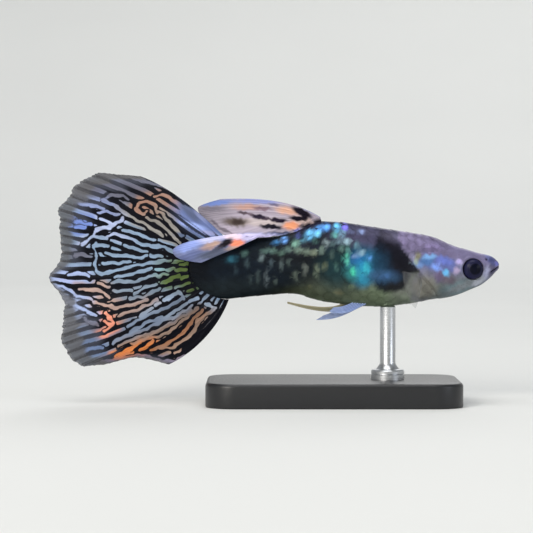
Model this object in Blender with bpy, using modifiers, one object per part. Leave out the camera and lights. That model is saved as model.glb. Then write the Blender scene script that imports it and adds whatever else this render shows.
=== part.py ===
# A male fancy guppy with a fan tail, life size, on a plain display stand.
#
# The fish faces +X, its back is up (+Z) and its right side faces -Y. The origin is the middle of the
# underside of the stand's base. The body is described by three lengths in millimetres: d, the distance
# behind the tip of the snout, y, the distance to the left of the middle plane, and h, the height above
# the body's own axis, which runs from the snout to the middle of the tail stem.

import math
import random

import bmesh
import bpy
from mathutils import Matrix, Vector

MM = 0.001
GAP = 0.3  # between neighbours that touch, in millimetres, as are all the sizes below

# Driving sizes
STANDARD_LENGTH = 32.0  # snout to the end of the tail stem
TRUNK_LENGTH = 20.6  # snout to the cut between the trunk and the tail stem
TAIL_DROP = 10.6  # lowest point of the tail fan under the body's axis
TAIL_CLEARANCE = 1.0  # between that point and the level of the base's top
BASE_LENGTH, BASE_WIDTH, BASE_HEIGHT = 26.0, 15.0, 2.5
BASE_CORNER, BASE_EDGE = 3.0, 0.4
BASE_PLACE = 17.0  # distance of the base's middle behind the snout
ROD_RADIUS, ROD_PLACE = 0.8, 11.4
ROD_FOOT_RADIUS, ROD_FOOT_HEIGHT = 1.7, 0.6
AXIS_HEIGHT = BASE_HEIGHT + TAIL_CLEARANCE + TAIL_DROP

# The body's outline: distance behind the snout, top, bottom, half width, height of the widest level,
# squareness of the back and of the belly (2 is an ellipse, more is boxier)
STATIONS = (
    (0.00, 0.10, -0.12, 0.34, 0.00, 2.0, 2.0),
    (0.12, 0.42, -0.30, 0.56, 0.02, 2.1, 2.0),
    (0.35, 0.68, -0.58, 0.74, 0.02, 2.2, 2.0),
    (0.80, 1.00, -1.10, 0.96, 0.00, 2.4, 2.0),
    (1.40, 1.19, -1.62, 1.17, 0.00, 2.6, 2.0),
    (2.00, 1.31, -2.02, 1.36, -0.05, 2.7, 1.9),
    (3.00, 1.61, -2.44, 1.56, -0.10, 2.6, 1.9),
    (4.00, 1.90, -2.86, 1.71, -0.20, 2.5, 1.85),
    (5.00, 2.25, -3.16, 1.85, -0.30, 2.4, 1.85),
    (6.00, 2.72, -3.34, 1.98, -0.35, 2.3, 1.85),
    (7.10, 3.12, -3.50, 2.10, -0.40, 2.2, 1.9),
    (9.10, 3.48, -3.88, 2.22, -0.45, 2.1, 1.95),
    (12.2, 3.95, -4.20, 2.20, -0.40, 2.0, 2.0),
    (14.2, 4.26, -4.16, 2.10, -0.30, 2.0, 2.0),
    (16.3, 4.55, -3.92, 1.95, -0.10, 1.95, 2.0),
    (18.1, 4.62, -3.66, 1.80, 0.10, 1.9, 1.95),
    (19.4, 4.28, -3.33, 1.68, 0.10, 1.9, 1.9),
    (20.4, 3.80, -2.98, 1.58, 0.05, 1.9, 1.9),
    (21.4, 3.40, -2.86, 1.47, 0.00, 1.9, 1.9),
    (23.5, 3.05, -3.00, 1.26, -0.10, 1.9, 1.9),
    (25.5, 2.98, -3.18, 1.04, -0.20, 2.0, 2.0),
    (27.8, 3.02, -3.42, 0.82, -0.20, 2.3, 2.3),
)
STEM_ROUND_START = 27.8  # from here the tail stem ends in a half ellipse
STEM_ROUND_LENGTH = STANDARD_LENGTH - STEM_ROUND_START
STEM_HALF_HEIGHT, STEM_LEVEL = 3.22, -0.20
STEM_RIM_HALF_WIDTH, STEM_RIM_SQUARENESS = 0.42, 3.0

# Rear edge of the gill cover: height, distance behind the snout
GILL_EDGE = ((-3.7, 5.7), (-2.6, 6.4), (-1.5, 7.3), (-0.4, 8.3), (0.8, 8.7), (2.0, 8.35), (3.5, 7.6))
GILL_GAP = 0.44  # along the body, where its edge runs slantwise
GILL_RISE, GILL_RISE_LENGTH, GILL_LEVEL, GILL_REACH = 0.13, 2.4, -0.3, 2.6

EYE_PLACE, EYE_LEVEL, EYE_SIDE = 2.78, -0.28, 1.10
EYE_RADIUS, EYE_DEPTH, EYE_GAP = 1.10, 0.74, 0.30
EYE_RIM_RISE, EYE_RIM_WIDTH = 0.07, 0.22

MOUTH_CORNER, MOUTH_DROP, MOUTH_OPENING = 0.95, 0.60, 0.14
LIP_RISE, LIP_HALF_WIDTH = 0.07, 0.13
NOSTRIL_PLACE, NOSTRIL_SIDE, NOSTRIL_LEVEL, NOSTRIL_RADIUS = 1.40, 0.78, 0.98, 0.17

# Fins
MEMBRANE = 0.5  # thickness of the skin between the rays
EDGE_SHARE = 0.6  # of that at the free edge
RAY_RISE = 0.12  # how far a ray stands out of the membrane on each side
CELLS_PER_RAY = 4  # grid cells from one ray to the next, so that a ray can fork
FRAY = 0.022  # how far ray tips stand past the membrane, as a share of the ray

# Free edge of the tail fan: share of the way from the top ray to the bottom one, d, h
TAIL_RAYS = 16
TAIL_MARGIN = (
    (0.00, 36.8, 9.2), (0.06, 39.1, 9.4), (0.12, 41.1, 9.5), (0.19, 43.0, 8.6), (0.26, 44.2, 6.9),
    (0.30, 45.1, 5.9), (0.38, 45.1, 3.5), (0.46, 45.2, 0.4), (0.515, 46.3, -1.5), (0.56, 44.8, -3.4),
    (0.64, 44.7, -5.7), (0.71, 44.8, -7.7), (0.78, 43.3, -10.0), (0.86, 40.9, -10.2),
    (0.93, 37.4, -9.5), (1.00, 33.9, -10.2),
)
# Directions of the rays in degrees above the rearward one: share, at the root, at the tip
TAIL_ANGLES = ((0.0, 44.0, 20.0), (0.25, 22.0, 20.0), (0.46, 0.0, 2.0), (0.75, -34.0, -22.0), (1.0, -68.0, -26.0))
TAIL_ROOT_TURNS = (82.0, -90.0)  # where the fan's root begins and ends round the end of the stem
TAIL_WAVES, TAIL_WAVE_HEIGHT, TAIL_CAMBER = 2.3, 0.75, 0.9

DORSAL_RAYS = 8
DORSAL_FRONT, DORSAL_REAR = 18.15, 21.2  # where the dorsal fin's base begins and ends
DORSAL_MARGIN = (
    (0.00, 28.6, 6.85), (0.09, 30.1, 6.4), (0.18, 30.9, 5.9), (0.36, 30.2, 4.95), (0.49, 28.4, 4.0),
    (0.55, 26.9, 3.85), (0.61, 27.0, 3.5), (0.67, 30.0, 2.9), (0.73, 32.4, 2.3), (0.81, 33.4, 1.6),
    (0.90, 32.7, 0.75), (1.00, 30.5, 0.35),
)
DORSAL_ANGLES = ((0.0, 33.0, -3.0), (0.2, 21.0, -8.0), (0.5, 4.0, -12.0), (0.7, -8.0, -10.0), (1.0, -14.0, -24.0))
DORSAL_FOLD = (0.32, 0.78)  # the rays between these shares turn over to the right side
DORSAL_FOLD_RISE, DORSAL_FOLD_DROP = 0.6, 27.5  # the fold's height over the back, and where that ends
DORSAL_OVER = 26.8  # from this d on the folded lobe hangs at its full distance from the flank
DORSAL_CLEAR = 0.78  # that distance, to the middle of the lobe
DORSAL_LEAN = 1.3  # how far the upper lobe's end stands to the left, clear of the tail fan
DORSAL_LEAN_REACH = (20.5, 28.2)  # where it leaves the middle plane and where it has got there

PECTORAL_RAYS = 7
PECTORAL_ROOT = ((8.55, -0.75), (8.15, -1.95))  # d, h of the root's upper and lower ends
PECTORAL_LENGTHS = ((0.0, 3.9), (0.35, 4.7), (0.7, 4.2), (1.0, 3.0))
PECTORAL_DIRECTIONS = ((0.34, 0.92, 0.10), (0.10, 0.72, -0.62))  # back, out, up at both ends

PELVIC_RAYS = 4
PELVIC_ROOT = ((13.7, 0.75), (14.6, 0.75))  # d, y of the root's front and rear ends
PELVIC_TIPS = {"right": (17.4, 1.30, -4.6), "left": (18.7, 1.30, -5.4)}
PELVIC_DROOP = 0.3  # how far all rays bow down
PELVIC_BOW = 0.5  # how much further the front ray does
PELVIC_TIP_WIDTH = 0.4

ANAL_ROOT, ANAL_TIP = (16.3, -4.62), (21.7, -3.75)
ANAL_RADII = (0.30, 0.34, 0.30, 0.25, 0.2, 0.12)

AROUND = 36  # corners of each cross-section of the body
HEAD_RINGS = (
    0.02, 0.07, 0.14, 0.22, 0.32, 0.44, 0.57, 0.71, 0.86, 1.02, 1.22, 1.45, 1.70, 1.95, 2.25, 2.55, 2.85,
    3.15, 3.5, 3.9, 4.3, 4.8,
)
GILL_RINGS, TRUNK_RINGS, STEM_RINGS, STEM_END_RINGS = 7, 13, 7, 8
STEM_LAST_TURN = math.radians(85)


def ease(value):
    """0 to 1, starting and ending gently."""
    value = min(max(value, 0.0), 1.0)
    return value * value * (3 - 2 * value)


def mix(a, b, share):
    return a + (b - a) * share


def smooth_table(table, x, column=1):
    """The table's column at x, on a smooth curve that doesn't overshoot between its rows."""
    if x <= table[0][0]:
        return table[0][column]
    if x >= table[-1][0]:
        return table[-1][column]
    i = max(k for k in range(len(table) - 1) if table[k][0] <= x)

    def slope(k):
        return (table[k + 1][column] - table[k][column]) / (table[k + 1][0] - table[k][0])

    def tangent(k):
        if k in (0, len(table) - 1):
            return slope(min(k, len(table) - 2))
        before, after = slope(k - 1), slope(k)
        return 0.0 if before * after <= 0 else 2 * before * after / (before + after)

    width = table[i + 1][0] - table[i][0]
    t = (x - table[i][0]) / width
    return (
        table[i][column] * (1 + 2 * t) * (1 - t) ** 2
        + table[i + 1][column] * t * t * (3 - 2 * t)
        + width * tangent(i) * t * (1 - t) ** 2
        - width * tangent(i + 1) * t * t * (1 - t)
    )


def section(d):
    """Top, bottom, half width, widest level and the two squarenesses of the body at d."""
    if d <= STEM_ROUND_START:
        return [smooth_table(STATIONS, d, column) for column in range(1, 7)]
    share = min((d - STEM_ROUND_START) / STEM_ROUND_LENGTH, 1.0)
    half = STEM_HALF_HEIGHT * math.sqrt(1 - share * share)
    square = mix(STATIONS[-1][5], STEM_RIM_SQUARENESS, share)
    half_width = mix(STATIONS[-1][3], STEM_RIM_HALF_WIDTH, share)
    return [STEM_LEVEL + half, STEM_LEVEL - half, half_width, STEM_LEVEL, square, square]


def half_width_at(d, h):
    """Half the body's width at d and height h, or 0 above its back and below its belly."""
    top, bottom, half_width, level, square_top, square_bottom = section(d)
    reach, square = (top - level, square_top) if h > level else (level - bottom, square_bottom)
    share = abs(h - level) / max(reach, 0.001)
    return half_width * (1 - share ** square) ** (1 / square) if share < 1 else 0.0


def belly_at(d, y):
    """Height of the belly's skin at d and y."""
    _, bottom, half_width, level, _, square = section(d)
    return level - (level - bottom) * (1 - (abs(y) / half_width) ** square) ** (1 / square)


def relief(d, h):
    """How far the lips, the eye's rim and the gill cover stand out of the plain head."""
    off_mouth = abs(h + MOUTH_DROP * d / MOUTH_CORNER) - MOUTH_OPENING / 2
    lips = LIP_RISE * math.exp(-(((off_mouth - LIP_HALF_WIDTH) / LIP_HALF_WIDTH) ** 2))
    lips *= ease((MOUTH_CORNER + 0.3 - d) / 0.4)
    off_eye = math.hypot(d - EYE_PLACE, h - EYE_LEVEL) - EYE_RADIUS - EYE_RIM_WIDTH
    rim = EYE_RIM_RISE * math.exp(-((off_eye / EYE_RIM_WIDTH) ** 2))
    to_edge = smooth_table(GILL_EDGE, h) - d
    cover = GILL_RISE * ease(1 - to_edge / GILL_RISE_LENGTH)
    cover *= ease((GILL_REACH - abs(h - GILL_LEVEL)) / 1.2)
    return lips + rim + cover


def skin_point(d, corner, in_head=False):
    """The point (d, y, h) of the body's surface at a corner of the cross-section at d."""
    turn = 2 * math.pi * corner / AROUND + math.pi / 2
    c, s = math.cos(turn), math.sin(turn)
    top, bottom, half_width, level, square_top, square_bottom = section(d)
    reach, square = (top - level, square_top) if s > 0 else (level - bottom, square_bottom)
    y = half_width * math.copysign(abs(c) ** (2 / square), c)
    h = level + reach * math.copysign(abs(s) ** (2 / square), s)
    grow = relief(d, h) if in_head else 0.0
    return d, y + grow * c, h + grow * s


def gill_place(corner, behind):
    """The d at which a corner's line along the body meets the gill cover's edge, that far behind it."""
    d = GILL_EDGE[3][1]
    for _ in range(20):
        d = smooth_table(GILL_EDGE, skin_point(d, corner)[2]) + behind
    return d


def world(d, y, h):
    """Millimetres of the fish to metres of the model."""
    return Vector(((BASE_PLACE - d) * MM, y * MM, (AXIS_HEIGHT + h) * MM))


def material(name, colour, roughness, metallic=0.0):
    made = bpy.data.materials.new(name)
    made.use_nodes = True
    shader = made.node_tree.nodes["Principled BSDF"]
    shader.inputs["Base Color"].default_value = (*colour, 1.0)
    shader.inputs["Roughness"].default_value = roughness
    shader.inputs["Metallic"].default_value = metallic
    return made


def finished(obj, finish):
    """Gives a mesh object its material, and smooth shading with crisp edges."""
    obj.data.materials.clear()
    obj.data.materials.append(finish)
    obj.data.shade_smooth()
    obj.data.set_sharp_from_angle(angle=math.radians(50))
    return obj


def put_in(collection, obj):
    for old in list(obj.users_collection):
        old.objects.unlink(obj)
    collection.objects.link(obj)
    return obj


def loft(name, rings, collection, finish):
    """A closed solid through rings of points. Strips from left to right close each end."""
    faces = []
    for k in range(len(rings) - 1):
        here, there = k * AROUND, (k + 1) * AROUND
        for j in range(AROUND):
            after = (j + 1) % AROUND
            faces.append((here + j, there + j, there + after))
            faces.append((here + j, there + after, here + after))
    for first in (0, (len(rings) - 1) * AROUND):
        for j in range(AROUND // 2):
            left, right = first + j, first + (AROUND - j) % AROUND
            strip = [left, left + 1, first + AROUND - j - 1, right]
            faces.append(tuple(dict.fromkeys(strip)))
    mesh = bpy.data.meshes.new(name)
    mesh.from_pydata([world(*point) for ring in rings for point in ring], [], faces)
    solid = bmesh.new()
    solid.from_mesh(mesh)
    bmesh.ops.recalc_face_normals(solid, faces=solid.faces)
    bmesh.ops.triangulate(solid, faces=solid.faces)
    solid.to_mesh(mesh)
    solid.free()
    obj = bpy.data.objects.new(name, mesh)
    collection.objects.link(obj)
    return finished(obj, finish)


def ball(collection, name, place, size, segments, rings):
    """An ellipsoid with its poles to the left and right."""
    bpy.ops.mesh.primitive_uv_sphere_add(segments=segments, ring_count=rings, radius=1.0)
    obj = bpy.context.object
    obj.name = obj.data.name = name
    obj.data.transform(Matrix.Rotation(math.pi / 2, 4, "X"))
    obj.data.transform(Matrix.Diagonal((*(side * MM for side in size), 1.0)))
    obj.location = world(*place)
    return put_in(collection, obj)


def as_cutter(obj):
    obj.hide_render = True
    obj.display_type = "WIRE"
    return obj


def cut(obj, cutter):
    modifier = obj.modifiers.new("cut_" + cutter.name, "BOOLEAN")
    modifier.operation = "DIFFERENCE"
    modifier.object = cutter


def mouth_cutter(cutters):
    """A thin tilted plate that opens the mouth from the snout's tip back to its corners."""
    reach = 1.0  # how far the plate stands out in front of the snout
    tilt = math.atan2(MOUTH_DROP, MOUTH_CORNER)
    middle = (MOUTH_CORNER - reach) / 2
    bpy.ops.mesh.primitive_cube_add(size=1.0)
    plate = bpy.context.object
    plate.name = "mouth_plate"
    length = (MOUTH_CORNER + reach) / math.cos(tilt)
    plate.data.transform(Matrix.Diagonal((length * MM, 4 * MM, MOUTH_OPENING * MM, 1.0)))
    plate.rotation_euler.y = -tilt
    plate.location = world(middle, 0, -MOUTH_DROP * middle / MOUTH_CORNER)
    return as_cutter(put_in(cutters, plate))


def make_head(fish, cutters, finish):
    rings = [[skin_point(d, j, True) for j in range(AROUND)] for d in HEAD_RINGS]
    edge = [gill_place(j, 0.0) for j in range(AROUND)]
    for k in range(1, GILL_RINGS + 1):
        share = k / GILL_RINGS
        rings.append([skin_point(mix(HEAD_RINGS[-1], edge[j], share), j, True) for j in range(AROUND)])
    head = loft("head", rings, fish, finish)
    cut(head, mouth_cutter(cutters))
    for side, sign in (("left", 1), ("right", -1)):
        socket = [EYE_RADIUS + EYE_GAP, EYE_DEPTH + EYE_GAP, EYE_RADIUS + EYE_GAP]
        place = (EYE_PLACE, sign * EYE_SIDE, EYE_LEVEL)
        cut(head, as_cutter(ball(cutters, "socket_" + side, place, socket, 20, 12)))
        place = (NOSTRIL_PLACE, sign * NOSTRIL_SIDE, NOSTRIL_LEVEL)
        pit = [NOSTRIL_RADIUS] * 3
        cut(head, as_cutter(ball(cutters, "nostril_" + side, place, pit, 8, 6)))


def make_trunk(fish, finish):
    edge = [gill_place(j, GILL_GAP) for j in range(AROUND)]
    last = TRUNK_LENGTH - GAP / 2
    rings = [
        [skin_point(mix(edge[j], last, k / TRUNK_RINGS), j) for j in range(AROUND)]
        for k in range(TRUNK_RINGS + 1)
    ]
    loft("trunk", rings, fish, finish)


def make_stem(fish, finish):
    first = TRUNK_LENGTH + GAP / 2
    places = [mix(first, STEM_ROUND_START, k / STEM_RINGS) for k in range(STEM_RINGS + 1)]
    for k in range(1, STEM_END_RINGS + 1):
        turn = STEM_LAST_TURN * k / STEM_END_RINGS
        places.append(STEM_ROUND_START + STEM_ROUND_LENGTH * math.sin(turn))
    rings = [[skin_point(d, j) for j in range(AROUND)] for d in places]
    loft("tail_stem", rings, fish, finish)


def make_eyes(fish, finish):
    for side, sign in (("left", 1), ("right", -1)):
        place = (EYE_PLACE, sign * EYE_SIDE, EYE_LEVEL)
        eye = ball(fish, "eye_" + side, place, (EYE_RADIUS, EYE_DEPTH, EYE_RADIUS), 20, 12)
        finished(eye, finish)


def margin_point(table, s):
    """A point (d, h) of a fin's free edge, on a curve through the table's rows."""
    i = max(k for k in range(len(table) - 1) if table[k][0] <= s or k == 0)
    rows = [table[min(max(k, 0), len(table) - 1)] for k in (i - 1, i, i + 1, i + 2)]
    t = (s - rows[1][0]) / (rows[2][0] - rows[1][0])
    weights = (
        -t + 2 * t * t - t ** 3,
        2 - 5 * t * t + 3 * t ** 3,
        t + 4 * t * t - 3 * t ** 3,
        t ** 3 - t * t,
    )
    return [sum(w * row[axis] for w, row in zip(weights, rows)) / 2 for axis in (1, 2)]


def ray_point(root, tip, root_angle, tip_angle, t):
    """A point (d, h) along a fin ray that leaves its root and reaches its tip at the given angles."""
    length = math.dist(root, tip)
    start = [length * math.cos(math.radians(root_angle)), length * math.sin(math.radians(root_angle))]
    end = [length * math.cos(math.radians(tip_angle)), length * math.sin(math.radians(tip_angle))]
    a, b = 2 * t ** 3 - 3 * t * t + 1, t ** 3 - 2 * t * t + t
    c, e = 3 * t * t - 2 * t ** 3, t ** 3 - t * t
    return [a * root[k] + b * start[k] + c * tip[k] + e * end[k] for k in (0, 1)]


def tail_point(s, t):
    """A point of the tail fan's middle surface. It has shallow waves that grow to its free edge."""
    turn = math.radians(mix(*TAIL_ROOT_TURNS, s))
    root = [
        STEM_ROUND_START + (STEM_ROUND_LENGTH + GAP) * math.cos(turn),
        STEM_LEVEL + (STEM_HALF_HEIGHT + GAP) * math.sin(turn),
    ]
    angles = [smooth_table(TAIL_ANGLES, s, column) for column in (1, 2)]
    d, h = ray_point(root, margin_point(TAIL_MARGIN, s), *angles, t)
    wave = math.sin(2 * math.pi * TAIL_WAVES * s + 0.6) * TAIL_WAVE_HEIGHT
    return d, TAIL_CAMBER * t * t + wave * ease(t) * t, h


def dorsal_point(s, t):
    """A point of the dorsal fin's middle surface. Its rear rays fold over and hang along the right flank."""
    base = mix(DORSAL_FRONT, DORSAL_REAR, s)
    root = [base, section(base)[0] + GAP]
    angles = [smooth_table(DORSAL_ANGLES, s, column) for column in (1, 2)]
    d, h = ray_point(root, margin_point(DORSAL_MARGIN, s), *angles, t)
    folded = ease((s - DORSAL_FOLD[0]) / (DORSAL_FOLD[1] - DORSAL_FOLD[0]))
    rise = DORSAL_FOLD_RISE * folded * ease((d - base) / 1.4)
    rise *= ease((DORSAL_FOLD_DROP - d) / (DORSAL_FOLD_DROP - DORSAL_REAR))
    flank = (section(d)[2] + DORSAL_CLEAR) * ease((d - DORSAL_REAR) / (DORSAL_OVER - DORSAL_REAR))
    left = DORSAL_LEAN * ease((d - DORSAL_LEAN_REACH[0]) / (DORSAL_LEAN_REACH[1] - DORSAL_LEAN_REACH[0]))
    return d, mix(left, -flank, folded), h + rise


def pectoral_point(sign):
    def place(s, t):
        d, h = (mix(PECTORAL_ROOT[0][k], PECTORAL_ROOT[1][k], s) for k in (0, 1))
        back, out, up = (mix(PECTORAL_DIRECTIONS[0][k], PECTORAL_DIRECTIONS[1][k], s) for k in range(3))
        reach = smooth_table(PECTORAL_LENGTHS, s) * t
        root = half_width_at(d, h) + GAP + 0.1
        droop = 0.35 * t * t
        return d + back * reach + droop, sign * (root + out * reach), h + up * reach - droop * s

    return place


def pelvic_point(sign, tip):
    def place(s, t):
        d, y = (mix(PELVIC_ROOT[0][k], PELVIC_ROOT[1][k], s) for k in (0, 1))
        inner = y - MEMBRANE / 2 - RAY_RISE
        h = belly_at(d, inner) - GAP
        bow = (PELVIC_DROOP + PELVIC_BOW * (1 - s)) * math.sin(math.pi * min(t, 1.0))
        below = bow + PELVIC_TIP_WIDTH * (1 - s) * ease(t)
        return mix(d, tip[0], t), sign * mix(y, tip[1], t), mix(h, tip[2], t) - below

    return place


def fin(name, place, rays, rows, collection, finish, forks=False, bare=0.0, seed=0):
    """A closed fin: one sheet of skin over a grid, split alike on both faces, with its rays as ridges.
    place(s, t) gives the middle surface, s from the first ray to the last and t from root to tip.
    bare is the share of each ray, at its root, along which its ridge rises from nothing."""
    cells = CELLS_PER_RAY if forks else 2
    columns = rays * cells
    thickest = MEMBRANE + 2 * RAY_RISE
    draw = random.Random(seed)
    tips = [draw.uniform(0.4, 1.0) * FRAY for _ in range(columns + 1)]
    bpy.ops.mesh.primitive_grid_add(x_subdivisions=columns, y_subdivisions=rows, size=2.0)
    obj = bpy.context.object
    obj.name = obj.data.name = name
    weights = obj.vertex_groups.new(name="thickness")
    for vertex in obj.data.vertices:
        column = round((vertex.co.x + 1) / 2 * columns)
        s, t = column / columns, (vertex.co.y + 1) / 2
        step = column % cells
        split = ease((t - 0.38) / 0.2) if forks else 0.0
        ridge = {0: 1 - split, 1: split, cells - 1: split}.get(step, 0.0) if forks else float(step == 0)
        if column in (0, columns):
            ridge = 1.0
        ridge *= ease(t / bare) if bare else 1.0
        share = mix(1.0, EDGE_SHARE, ease((t - 0.7) / 0.3))
        weights.add([vertex.index], (MEMBRANE + 2 * RAY_RISE * ridge) * share / thickest, "REPLACE")
        fray = tips[column] * (ridge * 2 - 1) * ease(min(s, 1 - s) / 0.08)
        stretch = 1 + fray * ease((t - 0.8) / 0.2)
        vertex.co = world(*place(s, t * stretch))
    sheet = bmesh.new()
    sheet.from_mesh(obj.data)
    bmesh.ops.triangulate(sheet, faces=sheet.faces, quad_method="FIXED")
    sheet.to_mesh(obj.data)
    sheet.free()
    skin = obj.modifiers.new("skin", "SOLIDIFY")
    skin.thickness = thickest * MM
    skin.offset = 0.0
    skin.vertex_group = "thickness"
    skin.thickness_vertex_group = 0.0
    return finished(put_in(collection, obj), finish)


def make_anal_fin(fish, finish):
    """The male's rod-like anal fin, which lies back under the belly."""
    curve = bpy.data.curves.new("anal_fin", "CURVE")
    curve.dimensions = "3D"
    curve.bevel_depth = MM
    curve.bevel_resolution = 2
    curve.use_fill_caps = True
    line = curve.splines.new("POLY")
    line.points.add(len(ANAL_RADII) - 1)
    for k, radius in enumerate(ANAL_RADII):
        share = k / (len(ANAL_RADII) - 1)
        d, h = (mix(ANAL_ROOT[axis], ANAL_TIP[axis], share) for axis in (0, 1))
        sag = 0.12 * math.sin(math.pi * share)
        line.points[k].co = (*world(d, 0.0, h - sag), 1.0)
        line.points[k].radius = radius
    obj = bpy.data.objects.new("anal_fin", curve)
    fish.objects.link(obj)
    curve.materials.append(finish)


def make_rod(fish, finish):
    """A turned rod with a small foot. It ends just under the belly."""
    foot = (BASE_HEIGHT + GAP) * MM
    top = (AXIS_HEIGHT + section(ROD_PLACE)[1] - GAP) * MM
    shoulder = foot + ROD_FOOT_HEIGHT * MM
    profile = [
        (0.0, top), (ROD_RADIUS * MM, top), (ROD_RADIUS * MM, shoulder + 0.3 * MM),
        ((ROD_RADIUS + 0.3) * MM, shoulder), (ROD_FOOT_RADIUS * MM, shoulder),
        (ROD_FOOT_RADIUS * MM, foot), (0.0, foot),
    ]
    mesh = bpy.data.meshes.new("stand_rod")
    edges = [(k, k + 1) for k in range(len(profile) - 1)]
    mesh.from_pydata([(r, 0.0, z) for r, z in profile], edges, [])
    obj = bpy.data.objects.new("stand_rod", mesh)
    fish.objects.link(obj)
    obj.location.x = (BASE_PLACE - ROD_PLACE) * MM
    mesh.materials.append(finish)
    turned = obj.modifiers.new("turned", "SCREW")
    turned.steps = turned.render_steps = 24
    turned.use_merge_vertices = True
    turned.merge_threshold = 0.00001


def make_base(fish, finish):
    bpy.ops.mesh.primitive_cube_add(size=1.0)
    obj = bpy.context.object
    obj.name = obj.data.name = "stand_base"
    obj.data.transform(Matrix.Diagonal((BASE_LENGTH * MM, BASE_WIDTH * MM, BASE_HEIGHT * MM, 1.0)))
    obj.data.transform(Matrix.Translation((0.0, 0.0, BASE_HEIGHT * MM / 2)))
    block = bmesh.new()
    block.from_mesh(obj.data)
    upright = [e for e in block.edges if abs(e.verts[0].co.z - e.verts[1].co.z) > 0.5 * BASE_HEIGHT * MM]
    bmesh.ops.bevel(block, geom=upright, offset=BASE_CORNER * MM, segments=5, profile=0.5, affect="EDGES")
    top = [e for e in block.edges if all(v.co.z > 0.9 * BASE_HEIGHT * MM for v in e.verts)]
    bmesh.ops.bevel(block, geom=top, offset=BASE_EDGE * MM, segments=2, profile=0.5, affect="EDGES")
    block.to_mesh(obj.data)
    block.free()
    finished(put_in(fish, obj), finish)


def clear_scene():
    for obj in list(bpy.data.objects):
        bpy.data.objects.remove(obj)


def main():
    clear_scene()
    fish = bpy.data.collections.new("fancy_guppy")
    cutters = bpy.data.collections.new("cutters")
    for collection in (fish, cutters):
        bpy.context.scene.collection.children.link(collection)
    head_skin = material("head_skin", (0.26, 0.24, 0.34), 0.35)
    body_skin = material("body_skin", (0.03, 0.07, 0.09), 0.35)
    stem_skin = material("stem_skin", (0.01, 0.02, 0.04), 0.35)
    eye_glass = material("eye", (0.01, 0.01, 0.03), 0.05)
    tail_skin = material("tail_fin", (0.22, 0.26, 0.33), 0.45)
    dorsal_skin = material("dorsal_fin", (0.45, 0.36, 0.36), 0.45)
    clear_skin = material("clear_fin", (0.45, 0.52, 0.62), 0.3)
    rod_steel = material("rod_steel", (0.55, 0.56, 0.58), 0.3, 1.0)
    base_paint = material("base_paint", (0.03, 0.03, 0.032), 0.5)

    make_head(fish, cutters, head_skin)
    make_trunk(fish, body_skin)
    make_stem(fish, stem_skin)
    make_eyes(fish, eye_glass)
    fin("tail_fin", tail_point, TAIL_RAYS, 14, fish, tail_skin, forks=True, seed=3)
    fin("dorsal_fin", dorsal_point, DORSAL_RAYS, 16, fish, dorsal_skin, bare=0.4, seed=5)
    for side, sign in (("left", 1), ("right", -1)):
        fin("pectoral_fin_" + side, pectoral_point(sign), PECTORAL_RAYS, 7, fish, clear_skin, seed=7)
        fin("pelvic_fin_" + side, pelvic_point(sign, PELVIC_TIPS[side]), PELVIC_RAYS, 6, fish, clear_skin, seed=9)
    make_anal_fin(fish, clear_skin)
    make_rod(fish, rod_steel)
    make_base(fish, base_paint)


main()
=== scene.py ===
# The looks of a male fancy guppy on its stand: one skin under a coat of scales, thin rayed fins with
# a lace pattern, glassy eyes, a steel rod and a black base, on a pale floor in soft studio light.
#
# The fish is described as in the solids: d is the distance behind the tip of the snout, y the distance
# to the left of the middle plane and h the height above the body's axis, all in millimetres. Markings
# are placed where the photograph shows them, in its pixels, 533 to a side.

import itertools
import math

import bmesh
import bpy
import numpy as np
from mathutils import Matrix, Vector

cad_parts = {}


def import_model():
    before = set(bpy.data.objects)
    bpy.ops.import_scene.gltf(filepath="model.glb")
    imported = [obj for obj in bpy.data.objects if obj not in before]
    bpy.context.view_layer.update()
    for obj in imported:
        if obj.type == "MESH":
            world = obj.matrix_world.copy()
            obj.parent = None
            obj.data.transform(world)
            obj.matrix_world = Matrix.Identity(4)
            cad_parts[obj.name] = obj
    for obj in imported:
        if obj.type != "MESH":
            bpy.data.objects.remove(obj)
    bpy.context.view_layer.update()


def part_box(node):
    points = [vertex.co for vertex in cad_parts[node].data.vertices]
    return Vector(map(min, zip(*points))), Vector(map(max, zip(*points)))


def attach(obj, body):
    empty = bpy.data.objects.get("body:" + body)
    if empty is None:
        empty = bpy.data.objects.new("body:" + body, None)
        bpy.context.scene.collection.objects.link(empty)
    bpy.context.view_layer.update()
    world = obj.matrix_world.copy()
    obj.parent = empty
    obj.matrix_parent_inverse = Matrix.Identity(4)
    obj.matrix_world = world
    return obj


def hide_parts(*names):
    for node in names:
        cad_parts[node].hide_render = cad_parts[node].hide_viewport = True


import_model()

MM = 0.001
PIXEL = 0.1025  # millimetres of the fish to a pixel of the photograph
SNOUT = (499.0, 266.0)  # the snout's tip in the photograph
PICTURE = 533  # pixels

SNOUT_X = 17.0  # where d is 0, and the height of the body's axis, in the model's millimetres
AXIS_HEIGHT = 14.1


# Shapes that part.py has too

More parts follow.
